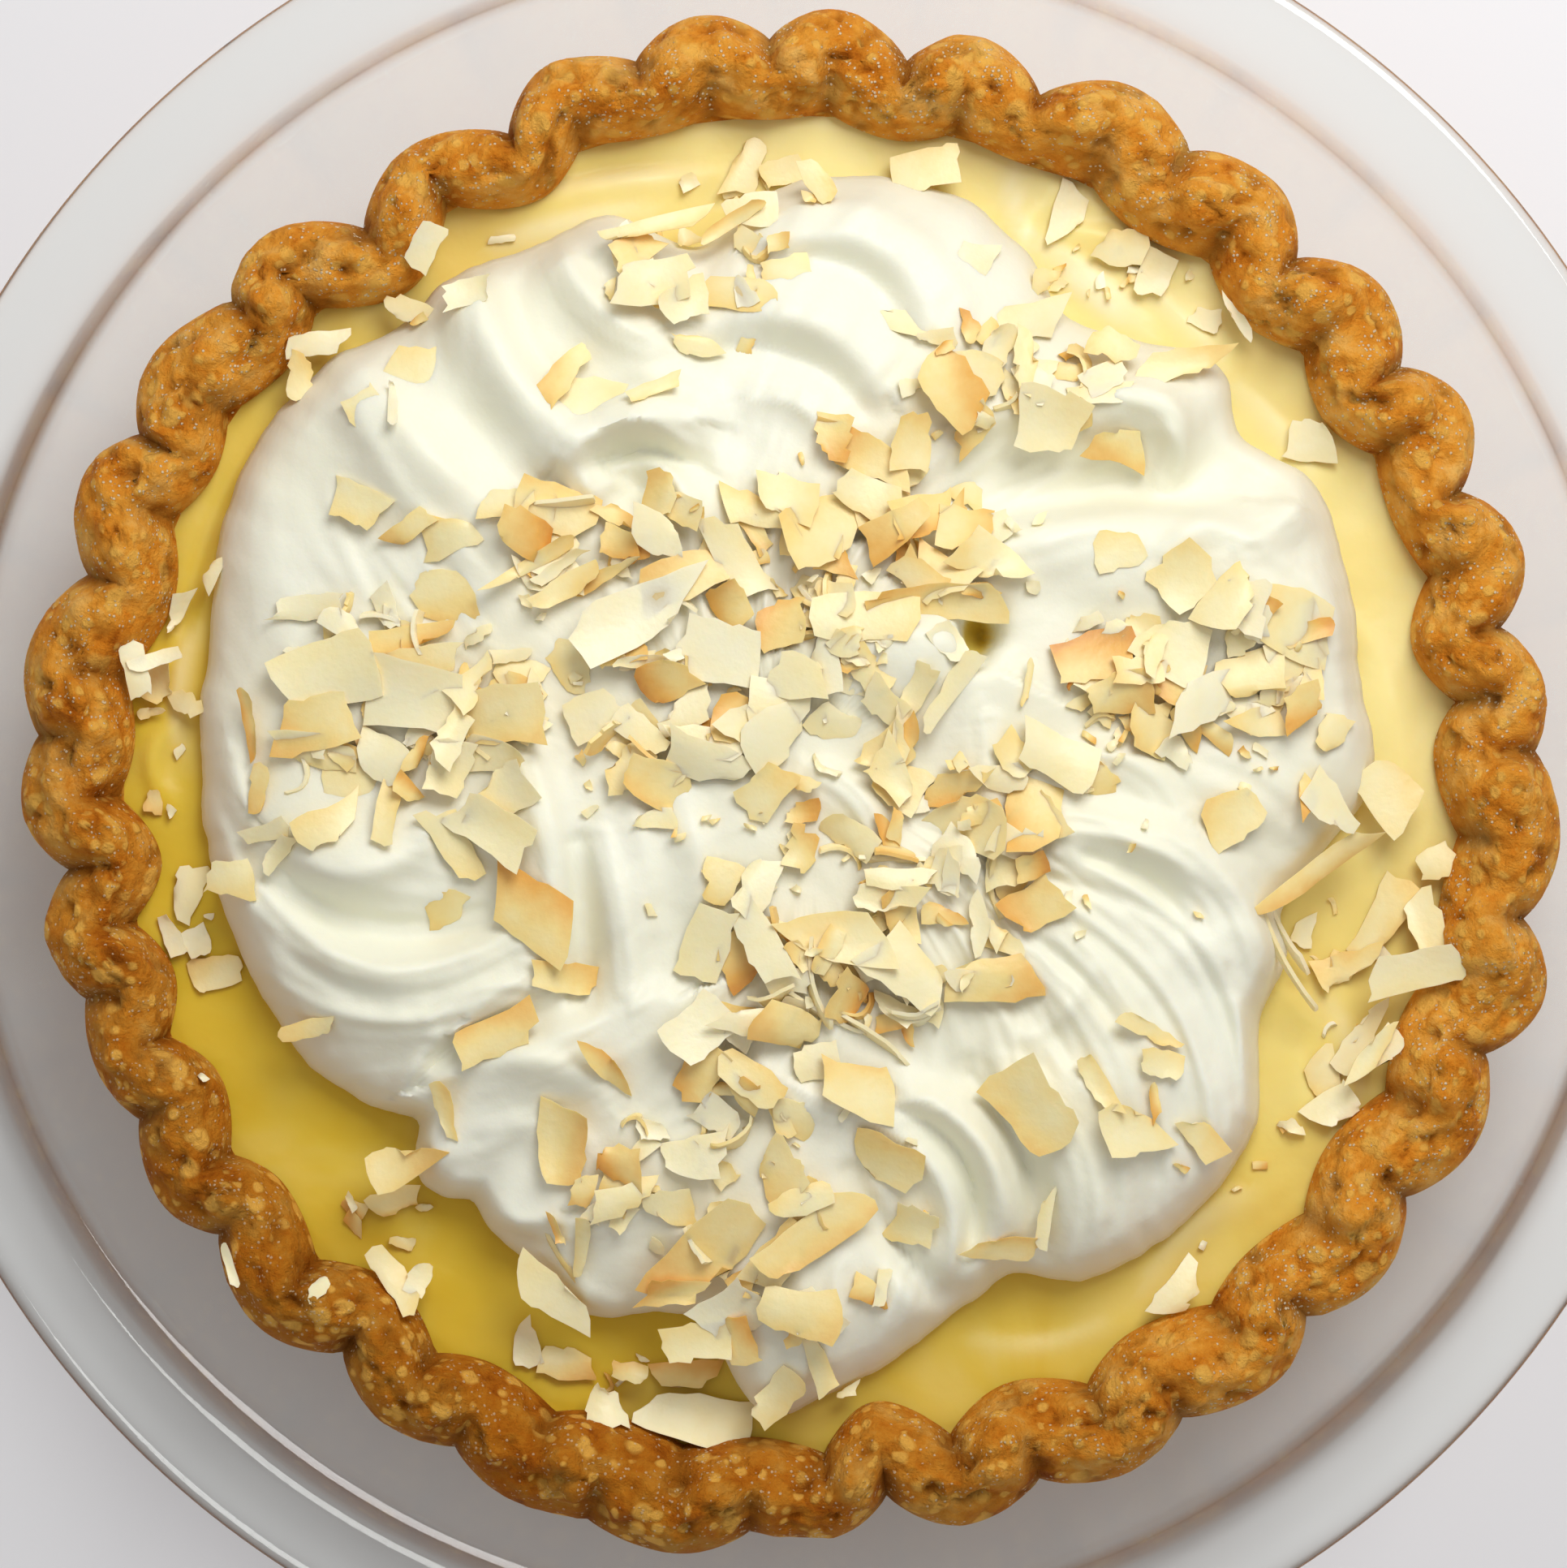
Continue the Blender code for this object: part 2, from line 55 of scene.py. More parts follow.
def wire(tree, made, inputs):  # links sockets, and sets constants straight on the node's own inputs
    for key, value in inputs.items():
        if isinstance(value, bpy.types.NodeSocket):
            tree.links.new(value, made.inputs[key])
        else:
            made.inputs[key].default_value = value


def addNode(tree, kind, inputs=None, **settings):
    made = tree.nodes.new("ShaderNode" + kind)
    for key, value in settings.items():
        setattr(made, key, value)
    wire(tree, made, inputs or {})
    return made


def newMaterial(name):
    made = bpy.data.materials.new(name)
    made.use_nodes = True
    return made, made.node_tree, made.node_tree.nodes["Principled BSDF"]


def objectCoords(tree):
    return addNode(tree, "TexCoord").outputs["Object"]


def addNoise(tree, coords, size, detail, **more):
    made = addNode(tree, "TexNoise", {"Vector": coords, "Scale": perMm(size), "Detail": detail, **more})
    return made.outputs["Fac"]


def addCells(tree, coords, size):
    made = addNode(tree, "TexVoronoi", {"Vector": coords, "Scale": perMm(size)})
    return made.outputs["Distance"], made.outputs["Color"]


def readMark(tree, name):  # a value that the mesh carries at its points
    return addNode(tree, "Attribute", attribute_name=name).outputs["Fac"]


def addRamp(tree, value, *stops):  # stops as (position, hex)
    made = addNode(tree, "ValToRGB", {"Fac": value})
    band = made.color_ramp
    while len(band.elements) < len(stops):
        band.elements.new(0.5)
    for element, (position, colour) in zip(band.elements, stops):
        element.position = position
        element.color = linear(colour)
    return made.outputs["Color"]


def addBump(tree, height, strength, distance):
    return addNode(tree, "Bump", {"Height": height, "Strength": strength, "Distance": distance}).outputs["Normal"]


def calc(tree, operation, *values):  # one step of arithmetic
    return addNode(tree, "Math", dict(enumerate(values)), operation=operation).outputs[0]


def vectorStep(tree, operation, first, second):
    return addNode(tree, "VectorMath", {0: first, 1: second}, operation=operation).outputs


def remap(tree, value, low, high, toLow=0.0, toHigh=1.0):
    return addNode(tree, "MapRange", {
        "Value": value, "From Min": low, "From Max": high, "To Min": toLow, "To Max": toHigh}).outputs[0]


def mixColours(tree, factor, first, second, blend="MIX"):
    made = addNode(tree, "Mix", {0: factor, 6: first, 7: second}, data_type="RGBA", blend_type=blend)
    return made.outputs[2]


def noiseAt(spots, size, octaves=2, shift=0.0):  # soft noise of about -1 to 1 at each spot
    offset = Vector((shift, shift * 1.7, -shift * 0.6))
    return np.array([noise.fractal(Vector(p) / size + offset, 1.0, 2.0, octaves) for p in spots])


def noiseLayers(spots, layers):  # layers as (size, octaves, shift, height)
    return sum(noiseAt(spots, size, octaves, shift) * height for size, octaves, shift, height in layers)


def softStep(low, high, value):
    share = np.clip((value - low) / (high - low), 0, 1)
    return share * share * (3 - 2 * share)


def around(radius, turn, height):  # points at these radii and directions
    return np.column_stack((radius * np.cos(turn), radius * np.sin(turn), height))


def gridMesh(name, across, down, size, shape=None):
    bm = bmesh.new()
    bmesh.ops.create_grid(bm, x_segments=across, y_segments=down, size=size)
    if shape:
        shape(bm)
        bmesh.ops.recalc_face_normals(bm, faces=bm.faces)
    mesh = bpy.data.meshes.new(name)
    bm.to_mesh(mesh)
    bm.free()
    return mesh


def pointsOf(mesh):
    spots = np.empty(len(mesh.vertices) * 3)
    mesh.vertices.foreach_get("co", spots)
    return spots.reshape(-1, 3)


def addObject(name, data):
    made = bpy.data.objects.new(name, data)
    bpy.context.scene.collection.objects.link(made)
    return made


def ringStack(name, rings, steps, place, made, smoothAngle):
    # A grid rolled up into a capped tube of unit rings, from the middle of the underside to the middle of the top;
    # place() then moves each point, given its ring number and direction, to where it belongs
    def rollUp(bm):
        for point in bm.verts:
            turn, ring = point.co.x * math.pi, round((point.co.y + 1) / 2 * (rings - 1))
            radius = 0 if ring in (0, rings - 1) else 1
            point.co = (radius * math.cos(turn), radius * math.sin(turn), ring)
        bmesh.ops.remove_doubles(bm, verts=bm.verts, dist=0.001)

    mesh = gridMesh(name, steps, rings - 1, 1.0, rollUp)
    spots = pointsOf(mesh)
    spots, marks = place(np.rint(spots[:, 2]).astype(int), np.arctan2(spots[:, 1], spots[:, 0]))
    return finish(name, mesh, spots, marks, made, smoothAngle)


def finish(name, mesh, spots, marks, made, smoothAngle):  # spots in mm, marks as values at the points
    mesh.vertices.foreach_set("co", (spots * mm).ravel())
    for key, values in marks.items():
        mesh.attributes.new(key, "FLOAT", "POINT").data.foreach_set("value", values.astype(float))
    mesh.update()
    mesh.materials.append(made)
    mesh.shade_smooth()
    mesh.set_sharp_from_angle(angle=math.radians(smoothAngle))
    piece = addObject(name, mesh)
    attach(piece, "root")
    print(name, len(mesh.polygons), "faces")
    return piece


dishForm = {
    "steps": 288,
    "cuts": 2,                       # corner cuts that round the turned profile
    "profile": (
        (0, 0), (60, 0), (81.5, 0), (86.5, 1.4), (89.2, 4.6), (98, 17.4), (108.6, 33), (110.8, 34.8), (114.5, 34.9),
        (118.4, 35.1), (120.3, 35.9), (120.3, 37.9), (118.8, 38.5), (115.8, 37.9), (112.4, 37.75), (107.6, 37.5),
        (105.2, 35.9), (95.2, 21.55), (85.2, 7.2), (83, 5.4), (79.5, 4.6), (60, 4.6), (0, 4.6),
    ),
}


def roundedProfile(points, cuts):
    for _ in range(cuts):
        inner = []
        for (r0, z0), (r1, z1) in zip(points, points[1:]):
            inner += [(r0 * 0.75 + r1 * 0.25, z0 * 0.75 + z1 * 0.25), (r0 * 0.25 + r1 * 0.75, z0 * 0.25 + z1 * 0.75)]
        points = [points[0]] + inner[1:-1] + [points[-1]]
    return np.array(points)


def glassMaterial():
    # Pressed soda-lime glass: clear, with a faint green cast where it is thick, and sharp window-like gloss
    made, tree, shader = newMaterial("pressed soda-lime glass")
    ripple = addNoise(tree, objectCoords(tree), 16, 1.0)
    wire(tree, shader, {
        "Base Color": linear("#fafdfa"), "Normal": addBump(tree, ripple, 0.25, 0.0004),
        "Transmission Weight": 1.0, "Roughness": 0.02, "IOR": 1.5,
    })
    return made


def makeDish():
    profile = roundedProfile(list(dishForm["profile"]), dishForm["cuts"])

    def place(ring, turn):
        radius, height = profile[ring].T
        return around(radius, turn, height), {}

    dish = ringStack("glass_dish", len(profile), dishForm["steps"], place, glassMaterial(), 60)
    dish.visible_shadow = False  # clear glass lets the light through to what is under it
    dish.visible_diffuse = False
    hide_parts("pie_dish")


crustForm = {
    "stepsPerCrimp": 26,
    "ropeRings": 44,
    "shift": (-0.4, 0.4),
    "top": 40.2,
    "outerFoot": 31.5,
    "innerFoot": 29.9,
    "betweenLobes": 87.3,
    # each crimp, anticlockwise: angle and radius of its outer peak, then of the notch after it, then its inner lobe
    "crimps": (
        (6.9, 98.9, 12.3, 94.6, 82.9), (17.8, 100, 23.4, 95.1, 85.5), (29.2, 100.7, 34.2, 96, 84),
        (39.9, 100.3, 45.9, 94.8, 84), (51.3, 100.3, 57.6, 97, 84.6), (63.3, 100.8, 69.9, 95, 86),
        (75.6, 99.9, 80.7, 94.9, 84.6), (86.7, 100.5, 91.5, 96.5, 86.2), (96.6, 100.2, 102, 95.7, 85.8),
        (108, 98.3, 113.4, 91.8, 82.4), (120.6, 96.1, 127.5, 90.7, 80.8), (134.9, 98.4, 139.2, 95.5, 84.4),
        (146.7, 99.4, 151.8, 95.7, 84.8), (156.9, 99.8, 163.5, 94.9, 83.4), (171, 100.4, 176.4, 97.6, 85.2),
        (181.2, 99.7, 186.9, 94.2, 82.2), (192, 98.4, 197.1, 95.5, 83.6), (202.2, 97.3, 207.4, 95, 83.2),
        (213.6, 98.1, 218.4, 94.4, 83.9), (225.3, 98.7, 231.9, 93.9, 82.9), (238.2, 98.4, 243.3, 96.5, 84.8),
        (249.6, 99.9, 254.7, 99.1, 85.2), (261, 101.2, 267, 97.3, 85.2), (273, 98.1, 277.8, 93.4, 81.3),
        (283.9, 99.1, 289.8, 96, 83.1), (296.4, 99.8, 301.8, 97, 84.2), (309, 100.3, 314.1, 96.5, 85.4),
        (320.1, 100.3, 326.1, 96.5, 84.4), (332.7, 100.8, 338.7, 97, 85.2), (344.1, 102, 349.5, 97, 86),
        (355.5, 100.4, 362.4, 97, 83.9),
    ),
    # radius and height of the bowl, from the middle of its underside to the rope, then from the rope down inside
    "under": (
        (0, 4.45), (40, 4.45), (70, 4.45), (79.2, 4.45), (83.3, 5.5), (85.8, 7.8), (90.8, 15), (95.6, 22),
        (97.9, 25.6),
    ),
    "inside": ((87.2, 28.9), (85.6, 24), (81.5, 16), (76.5, 9.2), (50, 9.2), (0, 9.2)),
    "wallGap": 0.4,                  # the wall stays this far inside the rope's outline, and draws in below it
    "drawIn": 0.12,
    "sharpness": 0.85,               # of the peaks, notches and lobes seen from above
    "legs": (1.35, 0.4, 0.34),       # rise of the rope's slanting legs, of their second wave, and the slant
    "creases": ((3.0, 0.075), (2.6, 0.085)),  # outer and inner: depth, half width as a share of a crimp
    "lumps": ((8.5, 2, 3.1, 1.8), (3.0, 3, 9.4, 1.3)),
    "cracks": (3.4, 3, 21.0, 0.22, 3.0),  # size, octaves, shift, where they start, depth
}


def ropePoint(turn, share):
    # Top of the crimped rope: turn counts crimps, share runs from its inner edge to its outer one
    table = np.array(crustForm["crimps"])
    count = len(table)
    knots = np.append(table[:, [0, 2]].ravel(), table[0, 0] + 360)
    angle = np.interp(np.mod(turn, count) * 2, np.arange(2 * count + 1), knots)
    nearPeak = np.rint(turn).astype(int) % count
    notchAfter = np.floor(turn).astype(int) % count
    peak, notch, lobe = table[nearPeak, 1], table[notchAfter, 3], table[notchAfter, 4]
    outward = np.abs(np.cos(np.pi * turn)) ** crustForm["sharpness"]
    inward = np.abs(np.sin(np.pi * turn)) ** crustForm["sharpness"]
    outer = notch + (peak - notch) * outward
    inner = crustForm["betweenLobes"] - (crustForm["betweenLobes"] - lobe) * inward
    radius = inner + (outer - inner) * share
    foot = crustForm["innerFoot"] + (crustForm["outerFoot"] - crustForm["innerFoot"]) * share
    fromPeak = np.abs((turn + 0.5) % 1 - 0.5)
    dome = np.sin(np.pi * np.clip(share, 0, 1))
    wander = 0.5 * np.sin(nearPeak * 2.3 + 1) * np.cos(np.pi * turn) ** 2
    rise, secondRise, slant = crustForm["legs"]
    swing = 2 * np.pi * (turn - 0.25 - slant * (share - 0.5))
    leg = (rise * np.cos(swing) + secondRise * np.cos(2 * swing)) * dome
    (outerDepth, outerWidth), (innerDepth, innerWidth) = crustForm["creases"]
    outerCrease = outerDepth * np.exp(-((0.5 - fromPeak) / outerWidth) ** 2) * softStep(0.28, 0.9, share)
    innerCrease = innerDepth * np.exp(-(fromPeak / innerWidth) ** 2) * softStep(0.62, 0.1, share)
    crease = outerCrease + innerCrease
    height = foot + (crustForm["top"] - foot + wander) * dome ** 0.6 + leg - crease * dome ** 0.5
    x = radius * np.cos(np.radians(angle)) + crustForm["shift"][0]
    y = radius * np.sin(np.radians(angle)) + crustForm["shift"][1]
    return np.column_stack((x, y, height)), crease


def crustMaterial():
    # Baked shortcrust: golden brown and matt, with paler butter spots and a dust of flour; painted shade darkens its
    # creases, its cracks and its lower-left side
    made, tree, shader = newMaterial("baked shortcrust pastry")
    coords = objectCoords(tree)
    patches = addNoise(tree, coords, 6.5, 6.0, Roughness=0.66)
    colour = addRamp(tree, patches, (0.30, "#b8600a"), (0.40, "#e68c24"), (0.52, "#f6a63a"), (0.68, "#ffc466"))
    # painted shade: towards the lower left (-x, -y), away from the light, the crust colour is multiplied by the dull
    # yellow below and so darkened
    crustShadeSide = vectorStep(tree, "DOT_PRODUCT", coords, (-5.0, -7.5, 0.0))["Value"]
    crustShadeShare = remap(tree, crustShadeSide, 0.25, 0.85)
    baked = mixColours(tree, 1.0, colour, linear("#b8a24c"), "MULTIPLY")
    colour = mixColours(tree, calc(tree, "MULTIPLY", crustShadeShare, 0.8), colour, baked)

    # butter spots of two sizes, in swayed cells, fewer down the wall
    sway = addNode(tree, "TexNoise", {"Vector": coords, "Scale": perMm(4), "Detail": 2.0}).outputs["Color"]
    swayed = vectorStep(tree, "MULTIPLY", sway, (mm, mm, mm))[0]
    spotCoords = vectorStep(tree, "ADD", coords, swayed)[0]
    height = addNode(tree, "SeparateXYZ", {"Vector": coords}).outputs["Z"]
    upper = remap(tree, height, 0.022, 0.030, 0.25, 0.8)
    bumps = 0.0
    for size, reach, soft, chance in ((4.4, 0.31, 0.06, 0.42), (2.2, 0.34, 0.08, 0.5)):
        distance, number = addCells(tree, spotCoords, size)
        lucky = calc(tree, "GREATER_THAN", number, chance)
        spot = calc(tree, "MULTIPLY", remap(tree, distance, reach + soft, reach - soft), lucky)
        colour = mixColours(tree, calc(tree, "MULTIPLY", spot, upper), colour, linear("#ffc258"))
        bumps = calc(tree, "MULTIPLY_ADD", spot, 0.12, bumps)
    # painted shade: dark brown where the rope's creases and cracks are deepest, and a little on the walls off the
    # rope
    creaseShadeShare = calc(tree, "MULTIPLY", readMark(tree, "crease"), 0.65)
    colour = mixColours(tree, creaseShadeShare, colour, linear("#743a06"))

    # flour: fine grains in patches, fewer on the side with painted shade
    dustShare = remap(tree, addNoise(tree, coords, 5, 4.0, Roughness=0.6), 0.40, 0.62, 0.08, 0.6)
    distance, number = addCells(tree, coords, 0.62)
    present = calc(tree, "LESS_THAN", number, dustShare)
    grain = calc(tree, "MULTIPLY", remap(tree, distance, 0.36, 0.26), present)
    flour = calc(tree, "MULTIPLY", grain, remap(tree, crustShadeShare, 0.0, 1.0, 0.85, 0.4))
    colour = mixColours(tree, flour, colour, linear("#fbe6c0"))
    crumb = addNoise(tree, coords, 2.8, 7.0, Roughness=0.68)
    raised = calc(tree, "ADD", calc(tree, "MULTIPLY_ADD", flour, 0.12, crumb), bumps)
    wire(tree, shader, {
        "Base Color": colour, "Normal": addBump(tree, raised, 1.0, 0.0019),
        "Roughness": 0.6, "Specular IOR Level": 0.08,
    })
    return made


def makeCrust():
    count = len(crustForm["crimps"])
    shares = (1 + np.cos(np.pi * np.arange(crustForm["ropeRings"]) / (crustForm["ropeRings"] - 1))) / 2
    under, inside = np.array(crustForm["under"]), np.array(crustForm["inside"])
    steps = count * crustForm["stepsPerCrimp"]

    def place(ring, direction):
        turn = np.rint(np.mod(direction, 2 * np.pi) / (2 * np.pi) * steps) / crustForm["stepsPerCrimp"] % count
        ropeRing = np.clip(ring - len(under), 0, len(shares) - 1)
        rope, crease = ropePoint(turn, shares[ropeRing])
        angle = np.arctan2(rope[:, 1] - crustForm["shift"][1], rope[:, 0] - crustForm["shift"][0])
        spots = rope.copy()
        rim = np.hypot(*ropePoint(turn, np.ones(len(turn)))[0].T[:2])
        ropeEnd = len(under) + len(shares)
        # the wall draws in under each notch of the rope
        for mask, table, first in ((ring < len(under), under, 0), (ring >= ropeEnd, inside, ropeEnd)):
            radius, height = table[np.clip(ring - first, 0, len(table) - 1)].T
            drawnIn = np.clip(26 - height, 0, 20) * crustForm["drawIn"]
            radius = np.minimum(radius, rim - crustForm["wallGap"] - drawnIn)
            spots[mask] = around(radius, angle, height)[mask]
        onRope = (ring >= len(under)) & (ring < ropeEnd)
        dome = np.where(onRope, np.sin(np.pi * shares[ropeRing]), 0)
        lumps = noiseLayers(spots, crustForm["lumps"])
        size, octaves, shift, start, deepest = crustForm["cracks"]
        cracks = -np.clip(noiseAt(spots * (1, 1, 0.6), size, octaves, shift) - start, 0, 1) * deepest
        outward = np.column_stack((spots[:, 0], spots[:, 1], np.zeros(len(spots))))
        outward /= np.maximum(np.linalg.norm(outward, axis=1, keepdims=True), 1)
        lean = np.cos(np.pi * (1 - shares[ropeRing]))[:, None]
        facing = outward * lean * 0.8 + np.array((0, 0, 1.0)) * dome[:, None]
        spots = spots + facing * ((lumps + cracks) * dome ** 0.5)[:, None]
        # the crease mark carries how deep the creases and cracks are, which the pastry's material turns into painted
        # shade; 0.2 off the rope
        return spots, {"crease": np.where(onRope, np.clip(crease / 3 - cracks * 0.5, 0, 1), 0.2)}

    crust = ringStack("pie_crust", len(under) + len(shares) + len(inside), steps, place, crustMaterial(), 80)
    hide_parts("crust")
    return crust


def strokeRelief(spots, strokes):
    # Height that bowed ridges and grooves add: start x, y, end x, y, bow to the left,
    # rise, left width, and the right one where it differs
    x, y = spots[:, 0], spots[:, 1]
    relief = np.zeros(len(spots))
    steps = 12  # straight steps that stand for each bowed line
    for number, stroke in enumerate(strokes):
        x0, y0, x1, y1, bow, rise, left, right = (*stroke, stroke[-1])[:8]
        start, end = np.array((x0, y0)), np.array((x1, y1))
        along = (end - start) / np.linalg.norm(end - start)
        middle = (start + end) / 2 + np.array((-along[1], along[0])) * 2 * bow
        t = np.linspace(0, 1, steps + 1)[:, None]
        line = start * (1 - t) ** 2 + middle * 2 * t * (1 - t) + end * t ** 2
        reach = 3 * max(left, right)
        near = np.flatnonzero(
            (x > line[:, 0].min() - reach) & (x < line[:, 0].max() + reach)
            & (y > line[:, 1].min() - reach) & (y < line[:, 1].max() + reach))
        best = np.full(len(near), 1e9)
        side = np.zeros(len(near))
        share = np.zeros(len(near))
        for step in range(steps):
            p, q = line[step], line[step + 1] - line[step]
            dx, dy = x[near] - p[0], y[near] - p[1]
            k = np.clip((dx * q[0] + dy * q[1]) / (q @ q), 0, 1)
            ax, ay = dx - k * q[0], dy - k * q[1]
            away = np.hypot(ax, ay)
            closer = away < best
            best = np.where(closer, away, best)
            side = np.where(closer, q[0] * dy - q[1] * dx, side)
            share = np.where(closer, (step + k) / steps, share)
        width = np.where(side > 0, left, right)
        fade = 0.55 + 0.45 * np.sin(np.pi * share)
        comb = 0.16 * np.sin(best * np.sign(side) * 2 * np.pi / 2.3 + number)  # fine lines that a spoon leaves
        slim = 1 if 1.5 < max(left, right) < 4.5 and abs(rise) > 1.5 else 0
        relief[near] += (rise * fade + comb * slim) * np.exp(-(best / width) ** 2)
    return relief


custardForm = {
    "steps": 360,
    "rings": 60,
    "radius": 88.2,
    "level": 28.75,
    # radius and height of the underside and the side, from the middle outward; then the top's rings close in
    "under": ((0, 9.4), (60, 9.4), (76.3, 9.4), (88.2, 28)),
    "inner": (56, 40, 20, 0),
    "edgeFall": (85, 88, 0.35),      # the top falls between these radii, by this much
    "waves": ((17, 2, 5.0, 0.45), (6, 2, 8.0, 0.12)),
    # low strokes in the skin
    "strokes": (
        (34.5, 77, 33.5, 62, -3.5, 0.9, 1.2, 3), (44, 74, 56, 60, 1, -0.5, 2.5), (-76, 24, -66, 48, 2, 0.6, 1.2, 2),
        (-79, 20, -69, 45, 2, -0.5, 1.2), (-81, -2, -80, 8, 3, 0.8, 1.4), (-60, -50, -40, -68, -3, 0.25, 4, 6),
        (60, -54, 48, -68, -4, 0.4, 2, 4), (74, 20, 79, -2, 2, 0.5, 2, 3), (-40, 72, -10, 79, 2, 0.4, 2),
        (66, -36, 76, -50, -3, 0.6, 2, 3), (-37, 77, -14, 81, 1, -0.5, 1.2), (-62, -44, -50, -60, -2, 0.2, 3, 5),
        (20, -72, 44, -70, -3, 0.35, 2.4, 4), (36, 72, 52, 66, 1.5, 0.7, 1.2, 2),
    ),
    # paler streaks where cream was dragged through it
    "smears": (
        (29.5, 80.5, 30.5, 72, -1, 0.7, 0.8, 1.6), (30.5, 72, 46, 60, 1, 0.8, 1, 2.6),
        (36, 66, 42, 61, 0.5, 0.9, 1.6), (44, 66, 56, 55, 1, 0.5, 0.8, 1.6), (58, 52, 68, 40, 1, 0.5, 0.8, 2.2),
        (-38, 71, -20, 75, 0.5, 0.7, 1.2, 2.4), (-30, 78, -12, 80, 0.5, 0.5, 0.8, 1.4),
        (-80, 6, -78, 20, 1, 0.5, 1, 1.8), (46, -64, 58, -53, 1, 0.4, 1, 2.6), (24, -72, 40, -70, -1.5, 0.3, 1, 1.6),
        (70, -28, 74, -40, 1, 0.4, 1, 2.4),
    ),
}


def custardMaterial():
    # Set vanilla custard: smooth, opaque yellow with a satin skin and paler smears, with painted light towards the
    # upper right and painted shade towards the lower left
    made, tree, shader = newMaterial("set vanilla custard")
    coords = objectCoords(tree)
    cloudy = addNoise(tree, coords, 22, 3.0, Distortion=0.8)
    tone = addRamp(tree, cloudy, (0.36, "#e9ca4c"), (0.50, "#f0d966"), (0.64, "#f5e388"))
    # painted light and shade: paler towards the upper right (+x, +y), where the light falls, and deeper yellow
    # towards the lower left, away from it
    custardLitShare = remap(tree, vectorStep(tree, "DOT_PRODUCT", coords, (0.7, 0.7, 0.0))["Value"], -0.055, 0.06)
    custardShadeShare = calc(tree, "SUBTRACT", 1.0, custardLitShare)
    colour = mixColours(tree, calc(tree, "MULTIPLY", custardLitShare, 0.55), tone, linear("#faecb0"))
    colour = mixColours(tree, calc(tree, "MULTIPLY", custardShadeShare, 0.62), colour, linear("#d9b412"))
    colour = mixColours(tree, readMark(tree, "smear"), colour, linear("#fbf0c4"))
    wire(tree, shader, {
        "Base Color": colour, "Normal": addBump(tree, addNoise(tree, coords, 5, 3.0), 0.25, 0.0008),
        "Roughness": 0.34, "Specular IOR Level": 0.22,
        "Subsurface Weight": 0.25, "Subsurface Radius": (1.0, 0.6, 0.15), "Subsurface Scale": 0.004,
    })
    return made


def makeCustard():
    under = np.array(custardForm["under"])
    top = np.linspace(custardForm["radius"], custardForm["inner"][0], custardForm["rings"])
    radii = np.concatenate((under[:, 0], top, custardForm["inner"][1:]))
    heights = np.concatenate((under[:, 1], np.full(len(radii) - len(under), custardForm["level"])))
    fallStart, fallEnd, fall = custardForm["edgeFall"]

    def place(ring, turn):
        radius = radii[ring]
        spots = around(radius, turn, heights[ring])
        wave = noiseLayers(spots, custardForm["waves"])
        smear = strokeRelief(spots, custardForm["smears"])
        lift = wave + 1.5 * strokeRelief(spots, custardForm["strokes"]) + 0.5 * smear
        lift -= fall * softStep(fallStart, fallEnd, radius)
        spots[:, 2] += np.where(ring >= len(under), lift, 0)
        return spots, {"smear": np.clip(smear, 0, 1)}

    custard = ringStack("custard_filling", len(radii), custardForm["steps"], place, custardMaterial(), 60)
    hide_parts("custard")
    return custard


